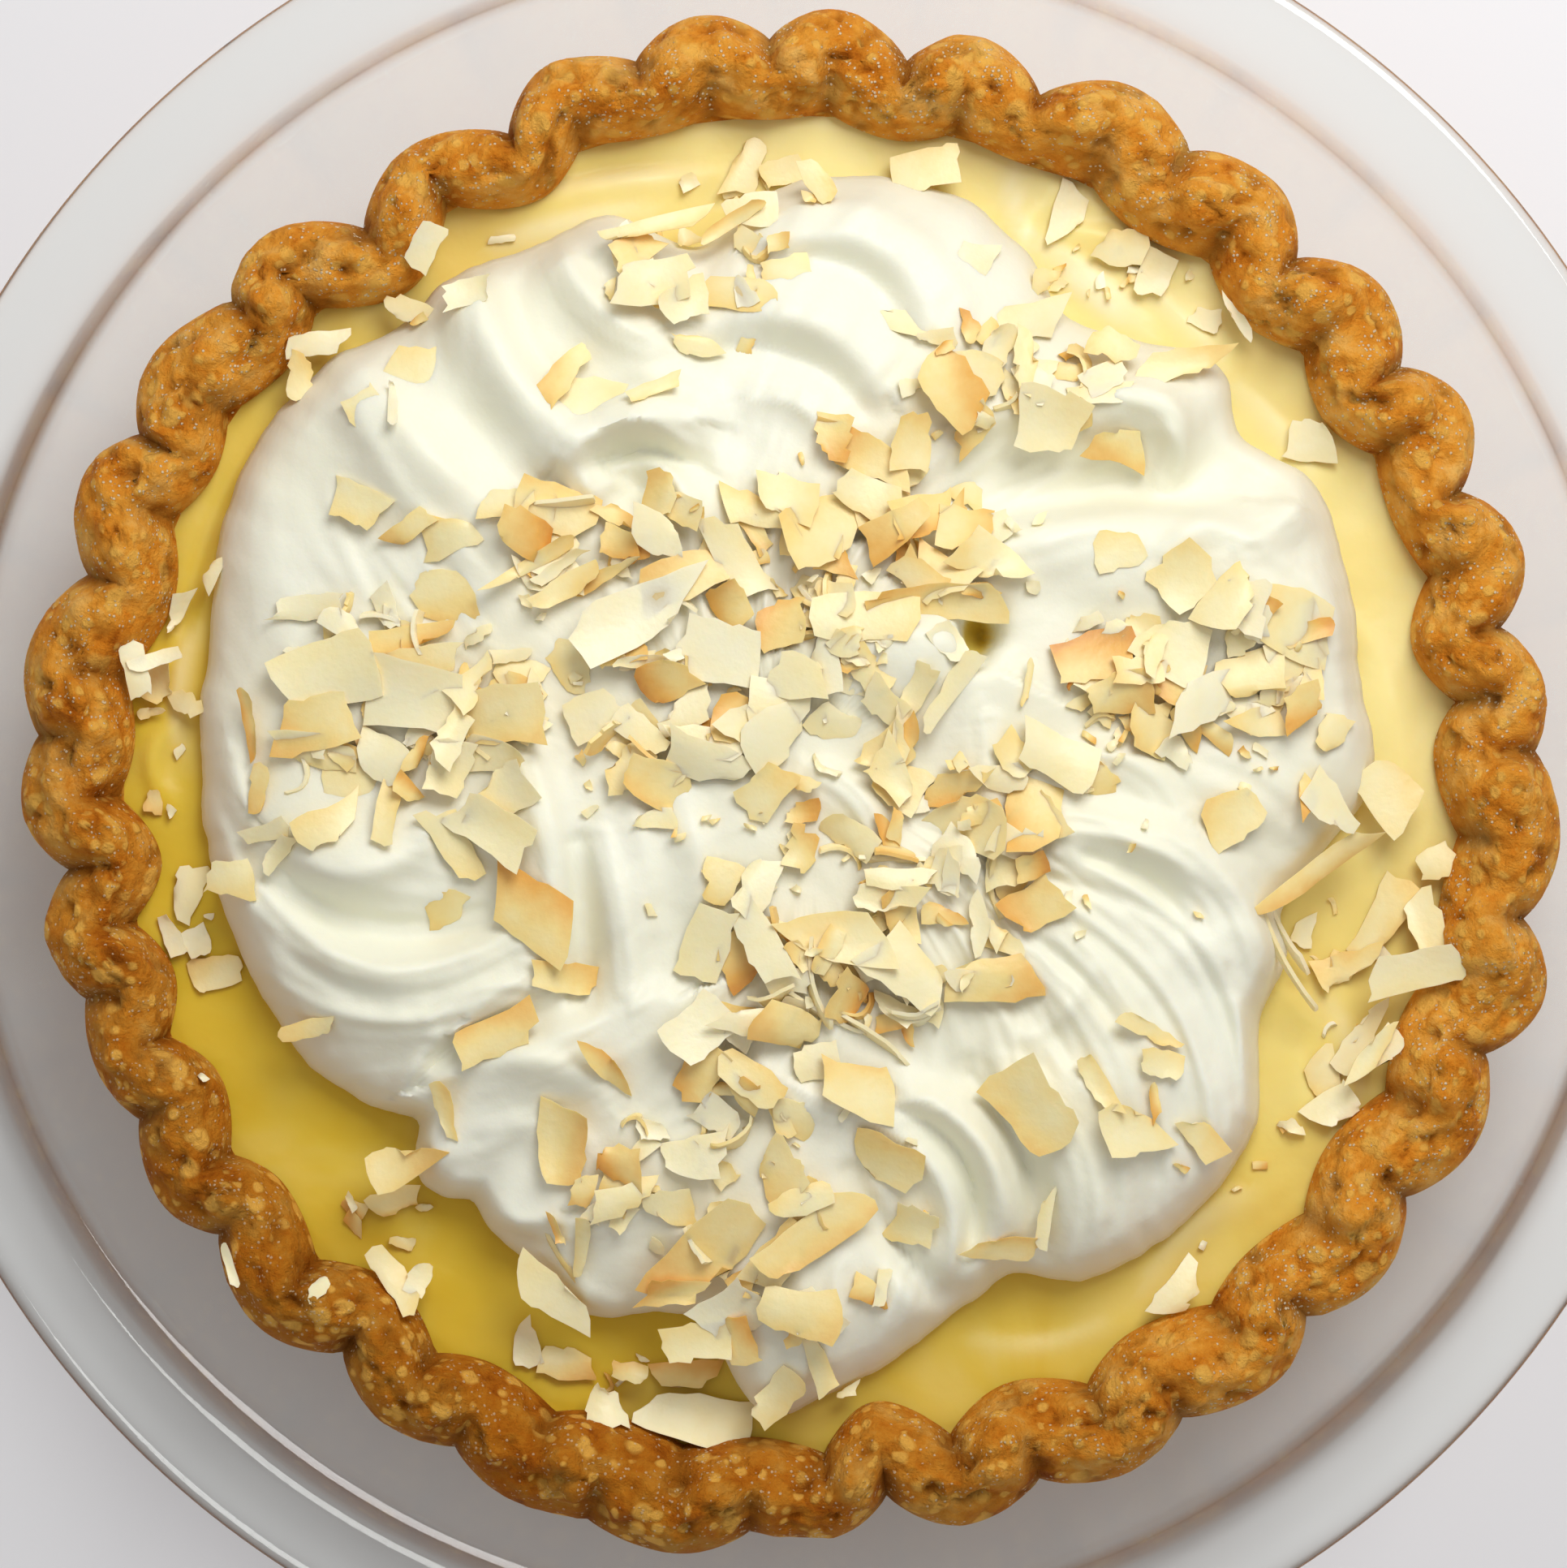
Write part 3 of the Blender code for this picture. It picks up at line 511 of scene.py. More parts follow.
creamForm = {
    "steps": 560,
    "rings": 118,
    # under and side, from the middle outward: share of the outline, height, how far it stands back
    "side": (
        (0, 28.3, 0), (0.5, 28.3, 0), (0.93, 28.3, 0), (1, 28.6, -1.9), (1, 29.4, -1.1), (1, 30.4, -0.35),
        (1, 31.5, 0),
    ),
    "topStart": 0.992,               # share of the outline at which the top begins
    "closer": 1.12,                  # above 1, the top's rings stand closer together near the edge
    "base": 29.3,
    "lowest": 30.2,                  # the top stays above this, clear of the custard
    "edgeHeight": 11.0,
    "edgeRound": 12,                 # a higher power makes a squarer shoulder
    "crown": 7.5,
    "rim": 75,                       # radius of the circle that the ragged edge is drawn on
    "raggedness": 0.55,
    "ragged": ((9, 3, 2.0, 0.9), (2.6, 2, 6.0, 0.35)),
    "ripples": ((13, 2, 11.0, 0.9), (4.5, 2, 14.0, 0.16)),
    "streaks": (3.4, 3, 17.0, 0.75),
    "swirl": (0.009, 46, 0.16),      # the streaks' turn per mm, the radius they are drawn on, their share along it
    "streakFree": (-26, -6, 26),     # x, y and radius of a place without them, where the spoon went across
    # outline, anticlockwise from +X: angle in degrees, radius
    "outline": (
        (0, 75), (12, 75.3), (22, 77.3), (30, 78), (38, 74), (44, 77.8), (53, 72.8), (60, 70.8), (66, 75.6),
        (75, 79.7), (86, 79.6), (92, 77), (100, 70.8), (108, 77.6), (116, 77.6), (124, 79.3), (131, 78.4),
        (137, 81.5), (147, 82.5), (156, 80.8), (166, 77.8), (180, 76.7), (190, 76.1), (201, 74), (210, 72.5),
        (216, 69.6), (220, 66.8), (222.3, 65.4), (224.2, 68.2), (227, 70.2), (230, 69.9), (232.4, 68.2), (236, 69.8),
        (241, 70.8), (246, 72.6), (249, 73.5), (256, 70.7), (261, 71.2), (267, 81.4), (274, 78.8), (283, 74),
        (291, 70.5), (295, 69.7), (300, 74.5), (308, 76), (316, 76.3), (323, 75.2), (330, 70.2), (334, 68), (341, 68),
        (346, 65.8), (353, 69.6),
    ),
    # the spoon's main strokes, as in the solid
    "strokes": (
        (-57.3, 54.4, -36.9, 34.4, -1, 5, 4, 7), (-42.1, 67, -27.4, 43.4, -2.2, 6, 3.5, 5),
        (-30.6, 71.2, -18.5, 57.5, -2.3, 4.5, 3, 3.5), (-24.8, 73.1, -20.6, 65.4, 0, 3, 2.5),
        (-29, 42.3, -13.2, 47, 2.6, 6, 4, 2.5), (-25.3, 38.6, -12.2, 34.4, 3.6, 4, 2.5),
        (-23, 40.5, -17, 38, 0, -5, 3), (-2.7, 70.1, 18.3, 59.6, 5.6, 3, 5, 2.5),
        (-11.1, 59.6, 11.4, 51.2, 4.4, 3.5, 5, 2.5), (-4.8, 49.7, 4.6, 44.4, 2, 2, 3, 2),
        (18, 33.5, 56, 37, 1.5, -7.5, 10, 2.4), (42.9, 50.4, 48.2, 39.7, 4, 4, 2.5, 3),
        (26.1, 31.5, 69.7, 22.9, 7, 3.5, 2.4, 16), (66.8, 39, 58.7, 31.8, 1, 3.5, 3.5, 2.5),
        (70.8, 29.2, 73.1, 7.1, 1, 2, 4), (28.8, 24, 48.7, 19.8, 0, -2, 5, 6), (3.6, 18.7, 24, 16, 2, 4, 3, 9),
        (24.6, 21.5, 24, 17.5, 0, -6, 2.5), (35.1, -4.4, 60.8, -34.9, 10.1, 5, 3, 4),
        (34, -9.1, 57.1, -49.6, 9.9, 3, 3), (34.5, -14.9, 54, -51.1, 6.1, 3, 3),
        (34, -19.6, 48.7, -55.3, 4.3, 2.5, 3), (30.3, -22.3, 42.4, -59, 5.3, 2.5, 3),
        (26.7, -38, 36.1, -62.2, 5.6, 3, 4), (23, -37, 33, -62.2, 2.1, -3.5, 2.5),
        (15.1, -39.6, 24, -63.2, 6.5, 4, 3, 2), (11.4, -43.3, 19.8, -63.2, 4, 2.5, 2),
        (7.8, -49.6, 19.8, -65.8, -1.5, -3, 2), (6.2, -62.2, 4.6, -75.8, 0, 2, 3), (15.1, -62.2, 12, -71.6, 0, 2, 3),
        (-65.7, -6.5, -47.9, -7.6, -3.9, 4, 6, 2.5), (-69.1, -13.3, -35.3, -19.1, -7.6, 4, 3, 4),
        (-66.8, -11.8, -39.5, -17, -4, -3, 3), (-68.4, -23.8, -34.2, -24.4, -6, 3, 3, 3.5),
        (-45.3, -38, -16.4, -27.5, 0, 3.5, 2.5, 8), (-42.1, -55.9, -20.6, -54.8, -2, 2, 2.5),
        (-33.7, 2.9, -29, -22.3, 1, 3.5, 2.5, 4), (-24.3, -6.5, -21.1, -25.4, 0.5, 3, 3, 2.5),
        (-27.4, -7.6, -26.4, -27.5, 0, -3, 2),
    ),
    # finer folds between them, too small for the solid
    "folds": (
        (36, -6, 55, -22, 5, 1.2, 1.2, 2.6), (38, -9, 50, -18, 2, -1.6, 1.2), (33, -12, 57, -40, 8, -1.3, 1.1),
        (34, -17, 52, -45, 5, -1.2, 1.1), (31, -20, 47, -50, 5, -1.1, 1.1), (57, -28, 50, -56, 6, 1, 1.2, 2),
        (60, -32, 54, -54, 5, -1, 1), (27, -30, 40, -55, 5, 1.2, 1.4, 2.4), (13, -41, 22, -60, 5.2, -1.6, 1.2),
        (17, -47, 21.5, -60, 2.5, 1.1, 1.1, 1.8), (10, -52, 17, -68, -1, 1, 1.3, 1.8), (1, -60, 1, -76, 0.5, 1, 1.6),
        (-63, -16, -42, -21, -5, 1, 1.4, 2), (-65, -20, -36, -22, -7, -1, 1.4), (-45, -33, -46, -50, -4, 2.6, 6, 1.5),
        (-46, -50, -31, -55, -3, 2, 5, 1.4), (-49.5, -43, -36, -30.5, 3, -2.4, 1.3),
        (-43, -54, -30, -57.5, -2.5, -2, 1.2, 1.4), (-41, -36, -24, -40, 3, 1.4, 1.6, 3),
        (-38, -45, -26, -46, 2, 1, 1.4, 2.6), (-46, -30, -33, -26, 2, 1.6, 1.6, 3),
        (-38, -58, -24, -68, -2, 1.2, 1.4, 2.6), (-30, -62, -14, -70, -2, 1.2, 1.6, 2.6),
        (-20, -52, -12, -62, 1, 1, 1.6, 2), (-22, 2, -18, -18, 1, 1.2, 1.6, 2), (-14, -2, -11, -20, 1, 1.2, 1.6, 2.4),
        (-72, 4, -66, -10, -1, 1.2, 1, 3.5), (-76, -2, -70, -18, 1, 1.4, 1.2, 3), (-56, 49, -42, 30, -2, 1.2, 1.6, 3),
        (-47, 48, -38, 36, 0, -1, 1.4, 2), (-36, 64, -26, 48, -2, -1.2, 1.4, 1.8),
        (-28, 47, -14, 49.5, 2.4, -1.8, 1.2, 1.4), (-24.5, 44.5, -13.5, 43, 2.4, 2.4, 1.3),
        (-21, 41.5, -14, 37, 1.5, 2.2, 1.2, 1.4), (-5, 66.5, 15, 57.5, 5, -1.6, 1.5),
        (-12, 55, 9, 48, 3.8, -1.6, 1.4), (-4, 74, 22, 62, 6, 0.9, 1.6, 2.2), (-24, 42, -12, 41, 1, -3.5, 1.6, 2.4),
        (48, 30, 58, 36, 1, 1.4, 1.5, 2.2), (58, 27, 66, 18, 2, 1.4, 1.3, 2.4), (46, 46, 50, 40, 2, 1.2, 1, 1.6),
        (33, 3, 50, -3, 4, 2, 1.4, 4), (25, 8, 21, -12, 2, 1.6, 1.8, 3), (4, 2, 12, -10, 2, 1.8, 1.6, 3),
        (-4, -36, 18, -40, -3, 1.8, 1.6, 3), (38, -24, 30, -32, 1, 1, 1.4, 1.6), (26, 47, 46, 50, 0, 3, 3, 6),
        (24, 41, 46, 43, 0, -1.5, 6),
    ),
    "hole": (23.6, 19.2, 2.0, 6.5),  # a gap in the cream: x, y, half width, depth
}


def creamRadius(degrees):
    table = np.array(creamForm["outline"])
    angles = np.concatenate((table[-2:, 0] - 360, table[:, 0], table[:3, 0] + 360))
    radii = np.concatenate((table[-2:, 1], table[:, 1], table[:3, 1]))
    degrees = np.mod(degrees, 360)
    after = np.searchsorted(angles, degrees, side="right")
    low, high = angles[after - 1], angles[after]
    start, end = radii[after - 1], radii[after]
    slopeIn, slopeOut = (end - radii[after - 2]) / 2, (radii[after + 1] - start) / 2
    k = (degrees - low) / (high - low)
    return (start * (2 * k ** 3 - 3 * k ** 2 + 1) + slopeIn * (k ** 3 - 2 * k ** 2 + k)
            + end * (3 * k ** 2 - 2 * k ** 3) + slopeOut * (k ** 3 - k ** 2))


def creamMaterial():
    # Whipped cream: matt, faintly warm white, soft in the shade, and custard-yellow down in its one gap
    made, tree, shader = newMaterial("soft whipped cream")
    coords = objectCoords(tree)
    tone = addRamp(tree, addNoise(tree, coords, 30, 2.0), (0.35, "#f1efd9"), (0.65, "#f4f3e1"))
    froth = addNoise(tree, coords, 2.2, 3.0, Roughness=0.55)
    wire(tree, shader, {
        "Base Color": mixColours(tree, readMark(tree, "gap"), tone, linear("#ffe470")),
        "Normal": addBump(tree, froth, 0.22, 0.0005), "Roughness": 0.5, "Specular IOR Level": 0.35,
        "Subsurface Weight": 0.35, "Subsurface Radius": (1.0, 0.85, 0.6), "Subsurface Scale": 0.002,
    })
    return made


def makeCream():
    side = np.array(creamForm["side"])
    shares = creamForm["topStart"] * (1 - np.linspace(0, 1, creamForm["rings"]) ** creamForm["closer"])
    hx, hy, hr, depth = creamForm["hole"]

    def place(ring, direction):
        rim = around(creamForm["rim"], direction, np.zeros(len(direction)))
        ragged = noiseLayers(rim, creamForm["ragged"])
        outline = creamRadius(np.degrees(direction)) + creamForm["raggedness"] * ragged
        onTop = ring >= len(side)
        topShare = shares[np.clip(ring - len(side), 0, len(shares) - 1)]
        sideTable = side[np.clip(ring, 0, len(side) - 1)]
        radius = np.where(onTop, topShare * outline, sideTable[:, 0] * outline + sideTable[:, 2])
        x, y = radius * np.cos(direction), radius * np.sin(direction)
        flat = np.column_stack((x, y, np.zeros(len(x))))
        body = creamForm["edgeHeight"] * np.sqrt(1 - topShare ** creamForm["edgeRound"])
        body += creamForm["crown"] * (1 - topShare ** 2)
        relief = strokeRelief(flat, creamForm["strokes"]) + strokeRelief(flat, creamForm["folds"])
        relief += noiseLayers(flat, creamForm["ripples"])
        turnPerMm, wide, stretch = creamForm["swirl"]
        swirl = direction + radius * turnPerMm
        streaks = around(wide, swirl, radius * stretch)
        rough = softStep(-0.25, 0.35, noiseAt(flat, 19, 1, 31.0)) * softStep(8, 20, radius)
        freeX, freeY, free = creamForm["streakFree"]
        rough *= 1 - np.exp(-((x - freeX) ** 2 + (y - freeY) ** 2) / free ** 2)
        relief += noiseLayers(streaks, (creamForm["streaks"],)) * rough
        inHole = np.exp(-((np.hypot(x - hx, (y - hy) * 0.6)) / hr) ** 4)
        height = creamForm["base"] + body + relief * (1 - softStep(0.94, 1.0, topShare)) - depth * inHole
        height = np.maximum(height, creamForm["lowest"])
        spots = np.column_stack((x, y, np.where(onTop, height, sideTable[:, 1])))
        return spots, {"gap": np.where(onTop, softStep(0.35, 0.9, inHole), 0)}

    cream = ringStack("whipped_cream_layer", len(side) + len(shares), creamForm["steps"], place, creamMaterial(), 75)
    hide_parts("whipped_cream")
    return cream


flakeForm = {
    "cells": (6, 4),
    "spacing": 4,         # between the blank sheets, before each is laid
    "thickness": 0.5,
    "grid": 0.8,          # spacing of the height map that flakes are laid on
    "reach": 106.0,
    "floorHeight": 28.0,
    "mapRadius": 102,
    "seed": 41,
    "maxSlope": 0.5,
    "flatBeyond": 72,     # outside this radius, on the custard and the rim, flakes lie flatter
    "flatSlope": 0.22,
    "lean": 0.13,         # how far each flake tips away from the lie of what is under it
    # for lying, half sunk and on edge: which percentile of the ground felt it rests on, and how it sinks below that
    "settle": {"f": (91, -0.05), "s": (45, -0.45), "e": (55, -1.0)},
    # smaller broken bits under and round the heaps: middle x, y, half spread x, y, how many, longest
    "showers": (
        (-22.4, 30.9, 14, 8, 16, 7.5), (8.7, 27.8, 17, 13, 34, 7.5), (-49.4, 11.2, 16, 14, 30, 7),
        (-15.2, 9.1, 12, 9, 18, 7), (13.9, -11.6, 20, 17, 46, 7.5), (3.5, -27.2, 15, 8, 18, 7),
        (51.3, 15.4, 16, 11, 30, 7), (-11, -50, 17, 12, 20, 7), (2.5, -65.6, 9, 8, 10, 6),
        (-13.1, 66.2, 14, 6, 14, 6), (28.4, 51.7, 15, 9, 18, 6.5), (-30, 2, 26, 24, 26, 2.6),
        (10, 8, 38, 40, 60, 2.4), (52, 12, 20, 14, 20, 2.4), (0, -55, 26, 14, 18, 2.4), (73, -24, 5, 12, 7, 4),
        (38, 67, 7, 7, 10, 2.6), (-52, -55, 6, 6, 5, 4), (-16, -77, 10, 3, 6, 4), (-2, 78, 12, 3, 7, 3),
        (58, -50, 8, 8, 4, 2),
    ),
    "ceiling": 52.4,
    # x, y, length, width, turn, toasting from 0 to 9, and s for half sunk; the others lie on top
    "rows": (
        (-40.9, 63.6, 8.2, 4.6, 20, 2), (-47.3, 69.4, 6.5, 3.8, 60, 2), (-37.5, 71.2, 4, 1.2, 8, 1),
        (-50.5, 61.1, 6.3, 4, -25, 3), (-48.4, 60.1, 3, 1.7, 30, 7), (-61.8, 57.3, 7, 3, 5, 2),
        (-63.7, 53, 6.3, 3.2, 80, 5), (-48.2, 53.6, 8.6, 6.7, 0, 4, "s"), (-54.9, 48.8, 5.1, 3.8, 30, 4, "s"),
        (-51.1, 50, 8.4, 1.7, 95, 1), (-27.4, 48.6, 10.9, 7.5, -15, 3, "s"), (-29, 52.5, 8.7, 3.1, 50, 6),
        (-17.8, 50.5, 7.9, 1.9, 24, 4), (-13.1, 56.9, 8.5, 4.4, 6, 4), (-5.8, 56.4, 2.9, 2.3, 60, 6, "s"),
        (-6.3, 63.3, 10.2, 4.8, -8, 5, "s"), (-18.4, 64.9, 11.5, 6.3, 5, 3), (-13.6, 61.9, 5.6, 4.8, 20, 3),
        (-18.5, 71.3, 14.3, 2.1, 15, 5), (-5.4, 73.4, 6.5, 4.4, 10, 3), (-7.5, 72.7, 8.4, 1.6, 32, 6),
        (-6.4, 80.4, 8.4, 4.6, 75, 4), (-13.8, 78.3, 2.7, 2.3, 40, 3), (-1.5, 79.7, 5.3, 3.2, 20, 4),
        (3.8, 77.6, 6.1, 3.6, -60, 5), (-1.7, 69.6, 3.1, 2.3, 10, 6), (-5.3, 69.9, 5.2, 4.2, -20, 4, "s"),
        (-1.2, 65.7, 6.3, 4.2, 10, 4, "s"), (-56.1, 36.2, 9.6, 7.1, -20, 4), (-43.2, 32.5, 10.8, 6.4, 10, 4, "s"),
        (-49.4, 32.5, 9.3, 3.5, 35, 6), (-29.7, 35.3, 10.2, 6, -20, 5), (-36.5, 36.1, 6.4, 3.5, 5, 4),
        (-34.4, 31.8, 8.7, 6.4, -18, 8), (-21.9, 31.1, 5.4, 4.2, -10, 7), (-22.4, 27.3, 12.3, 2.3, 26, 6),
        (-33.7, 27.8, 14.1, 2.3, 34, 5), (-29.2, 28.3, 12, 2.3, 34, 3), (-28.5, 25.5, 9.6, 2.7, 30, 5),
        (-16.7, 32.2, 6.6, 5.2, -6, 2), (-3.7, 34.9, 10, 4.6, -14, 5), (-14.1, 26.3, 11.4, 6.2, 20, 6),
        (-6.9, 28.7, 12.7, 5.8, -64, 3), (-7.9, 23.2, 6.2, 4.2, -50, 7), (-18.3, 21.8, 18.3, 8.3, 21, 1),
        (-8.9, 16.8, 10.4, 7.9, -8, 1), (-19.3, 15.6, 6.9, 1.7, -2, 3), (-62.3, 22.6, 10, 3.6, 2, 2),
        (-56.7, 20.6, 6.2, 3.5, -28, 1), (-52, 22.4, 6.2, 2.5, -74, 1), (-44.8, 24.2, 7.5, 6.2, 10, 5, "s"),
        (-40.1, 19.3, 6.4, 3.1, 12, 2), (-48.9, 18.7, 11.4, 3.3, 8, 7), (-47.9, 15.9, 11.6, 3.5, 4, 4),
        (-48.2, 11.4, 12.3, 8.7, -4, 2), (-59.3, 14.1, 10.8, 7.9, 22, 3), (-60.9, 8.1, 10, 6.4, 5, 6),
        (-69.4, 7.6, 9.6, 2.1, -78, 7), (-37, 8.6, 10.8, 7.9, 6, 5), (-34.4, 14.8, 7.7, 4.8, 30, 4, "s"),
        (-37.5, 3.9, 7.3, 4.2, -10, 3), (-25, 9.1, 6.9, 5.4, 30, 2), (-21.9, 17.4, 6.2, 4.2, 10, 6, "s"),
        (-16.2, 13.1, 7.3, 6.2, 30, 8), (-14.1, 9.1, 8.7, 4.6, 26, 2), (-19.3, 6.5, 7.9, 3.7, -42, 3),
        (-10.5, 4.5, 10, 4.6, -6, 2), (-7.9, 9.1, 5.8, 4.2, 80, 7), (-4.3, 7.6, 9.1, 6.4, -30, 3),
        (-1.5, 11, 7.9, 6.6, 10, 2), (-1.2, 20.6, 6.9, 6, 6, 7), (9.2, 42.4, 10.8, 6.4, -12, 6),
        (15.5, 43.9, 7.3, 4.6, 85, 5), (5.3, 44.4, 6, 4.8, 80, 7), (13.4, 59.8, 7.1, 3.1, -10, 3, "s"),
        (23.4, 67.2, 6.1, 4.8, 70, 2, "s"), (17.3, 79.9, 8.9, 4.8, 14, 4), (36.3, 73.8, 8.4, 5.3, 80, 3),
        (42.8, 70.4, 7.2, 5.5, -22, 4), (47.3, 66.2, 5.9, 3.8, 75, 3), (51.7, 66.2, 2.1, 1.7, 40, 3),
        (53.9, 60.9, 4.4, 3, -15, 2), (57.6, 60.9, 7.6, 2.3, -47, 1), (67.4, 45.1, 6.1, 5.5, 0, 2),
        (41, 56.3, 6.1, 5, -32, 5), (51.2, 54.4, 13.1, 4.2, 10, 5), (32.9, 65.1, 3.6, 3.2, 0, 5),
        (28.7, 59.6, 12.8, 5.2, 8, 3, "s"), (24.8, 53.3, 7.1, 6.2, 15, 4), (20.3, 51.2, 8.5, 6, -48, 7),
        (19.7, 56.1, 3.1, 1.9, 20, 8), (29.7, 54, 7.3, 4.4, 70, 4), (29.5, 48.6, 2.9, 2.3, 0, 7),
        (33.6, 46.3, 9.1, 7.7, -10, 3), (38.8, 50, 9.6, 3.1, 2, 3, "s"), (35.7, 53.2, 4.4, 2.7, 0, 5, "s"),
        (41.7, 43.9, 8.1, 6.4, -15, 6), (21.7, 38.2, 6.2, 4.2, -20, 5, "s"), (-1.2, 35.9, 10, 6.9, -16, 4),
        (3.3, 32.5, 10.8, 8.1, 10, 5), (10, 37, 8.7, 5.6, -20, 4), (17, 34.1, 8.1, 6, 10, 7),
        (13.9, 32.5, 10.4, 6.2, 34, 7), (18.1, 27.3, 8.3, 5.4, -30, 5), (21.7, 33, 7.9, 5.8, -8, 6),
        (16, 26.6, 7.3, 4.8, -40, 5), (25.5, 28, 8.9, 5, -36, 4), (30.5, 25.2, 1.9, 1.6, 0, 2),
        (8.9, 21.1, 13.1, 5.4, 0, 4), (18.1, 23.2, 16.2, 4.6, 2, 6), (22.8, 24.9, 4.2, 1.9, -10, 8),
        (3.5, 24.2, 8.3, 4.8, -10, 4), (1.2, 14.1, 10, 6.2, -12, 3), (8.9, 14.1, 9.6, 7.1, -25, 3),
        (-2.2, 6.5, 9.3, 6.9, 30, 2), (5.6, 8.1, 9.3, 6.2, -35, 3, "s"), (11.8, 10.2, 7.3, 4.2, -40, 3),
        (14.9, 11.2, 10.4, 3.1, 58, 3), (20.3, 12.2, 11.6, 2.5, 56, 3), (10.8, 3.4, 9.3, 6.2, 40, 4),
        (29.7, 12.2, 10, 1.6, 80, 5), (41.7, 29.9, 6, 4.2, 6, 4, "s"), (49.7, 26.2, 7.1, 6.4, 40, 4),
        (56.7, 24.9, 12, 7.9, 58, 4), (38.3, 16.2, 9.1, 5.8, 10, 8), (40.9, 11.4, 10.4, 6, 14, 6),
        (35.7, 13.1, 2.5, 0.8, 28, 9, "e"), (48.4, 18, 8.9, 6.9, -20, 3), (44, 14.1, 7.5, 4.2, 0, 5),
        (45.6, 7.1, 6.9, 5.2, 85, 5), (51.8, 11.2, 8.3, 6.2, 15, 1), (49.4, 4.5, 5.8, 4.4, -30, 1),
        (59.4, 13.1, 12, 8.7, 18, 5), (64.2, 17.6, 8.8, 6.9, 30, 3, "s"), (64.4, 20.7, 10, 8.4, -20, 4, "s"),
        (65.5, 10, 6.7, 4.8, 30, 7), (58.6, 7.6, 9.6, 4.2, 5, 5), (69.4, 6.6, 6.3, 4.2, 60, 4),
        (45.6, 17.4, 6.2, 4.6, 60, 4), (-60.3, 4.1, 11.4, 6.2, 5, 4, "s"), (-68.1, -0.2, 7.3, 2.7, 86, 6),
        (-61.9, 0.3, 6.4, 1.2, 66, 3, "e"), (-56.7, 0.6, 6.9, 5.8, 20, 4, "s"), (-52, 3.4, 8.7, 6.6, -20, 2),
        (-47.9, 3.9, 5.8, 3.1, 80, 7), (-59.3, -5.6, 9.6, 6.9, 18, 4), (-51.5, -3.3, 8.9, 3.3, 76, 5),
        (-48.7, -0.7, 5.6, 2.9, -40, 7), (-67.6, -6, 5.6, 2.3, 16, 3), (-66, -8.8, 6.3, 2.1, 50, 3),
        (-72.3, -11.8, 6.7, 4.8, -5, 4), (-43.7, -15.6, 6.9, 5, 5, 5, "s"), (-43.7, 2.4, 7.3, 5.2, 70, 3),
        (-36.8, 0.3, 10, 7.9, 8, 3), (-43, -7.7, 10.4, 4.4, -62, 4), (-38.3, -5.6, 11.2, 6, -36, 3),
        (-33.3, -16, 10.4, 7.7, -28, 7), (-29.7, -24.6, 8.7, 3.7, -4, 6), (-37.8, -32, 10.2, 5, 22, 6),
        (-61.6, -31.2, 8.2, 2.9, 8, 5), (-44.6, -42, 8.1, 2.9, -80, 5), (-23.7, -35.7, 8.1, 6, -15, 7),
        (-29.5, -46.1, 11.6, 7.7, 78, 6), (-22.8, -47.8, 8.7, 6.4, -24, 8), (-26.8, -52.1, 4.4, 3.1, 80, 6),
        (-20.9, -52.6, 8.9, 4.2, 14, 4), (-12.9, -47.5, 10.2, 6.2, 12, 2), (-11.8, -36.6, 8.3, 6.4, 60, 7),
        (-5.3, -37.6, 8.9, 4.2, -36, 5), (-7.1, -22.9, 8.5, 6, -70, 8), (-11, -20.5, 10.6, 6.2, 70, 3),
        (-11.8, -30.5, 9.6, 7.5, 35, 1), (-5.3, -29.8, 9.1, 5.2, -16, 2), (-3.7, -20.5, 12.7, 4.6, -58, 2),
        (-9.5, -12.5, 6.2, 4.8, 60, 5), (-4.8, -12.2, 8.7, 4.8, 62, 2), (19.6, -10.1, 6.2, 3.7, 80, 2),
        (-18.3, 0.3, 10, 5.8, -16, 6), (-18.3, -4.2, 6.4, 2.9, -4, 3), (-10.8, 3.1, 10.4, 4.6, -22, 2),
        (-16.2, 1.9, 9.6, 1.5, -28, 5, "e"), (-3.2, -0.2, 7.5, 5.8, 50, 5), (-10, -59.9, 15.8, 9.1, 54, 6),
        (-2.2, -48.5, 8.3, 5.8, -60, 5), (-1.5, -60.4, 9.8, 5.2, 48, 4), (-15.3, -65.3, 8.8, 4.4, -10, 7),
        (-7.9, -67.4, 8.8, 6.5, 40, 1), (-29.9, -57.7, 5.9, 2.1, -76, 7), (-30.7, -60.4, 11.5, 1.7, -60, 4, "e"),
        (-27, -59.8, 10, 2.3, 86, 4), (-30.4, -65.3, 10.9, 5.9, -30, 3), (-50.3, -48.5, 11.1, 6.3, 34, 6),
        (-51, -54.6, 8.9, 4.4, 20, 6), (-52.1, -63.7, 11, 4, -52, 4), (-48.4, -63.7, 4.2, 2.7, 70, 3),
        (-75.3, -24.5, 7.6, 4.2, 15, 5), (-77.3, -20.8, 4, 3.6, -60, 2), (-78.9, -13.4, 7, 4.8, 70, 3),
        (-81, -19, 5.9, 2.1, -65, 2), (-76, -17.1, 1.3, 0.9, 0, 2), (-83.1, -1.8, 5.3, 2.7, 80, 6),
        (-81, -3.6, 1.7, 1.3, 60, 2), (-79.7, 4.5, 1.9, 1.3, 40, 2), (-78.6, 10.8, 4.8, 4, -75, 4),
        (-82.7, 12.9, 5.9, 5.2, 30, 5), (-85, 14.9, 7.3, 3.1, -82, 2), (-81.8, 16.4, 6.7, 2.1, 24, 2),
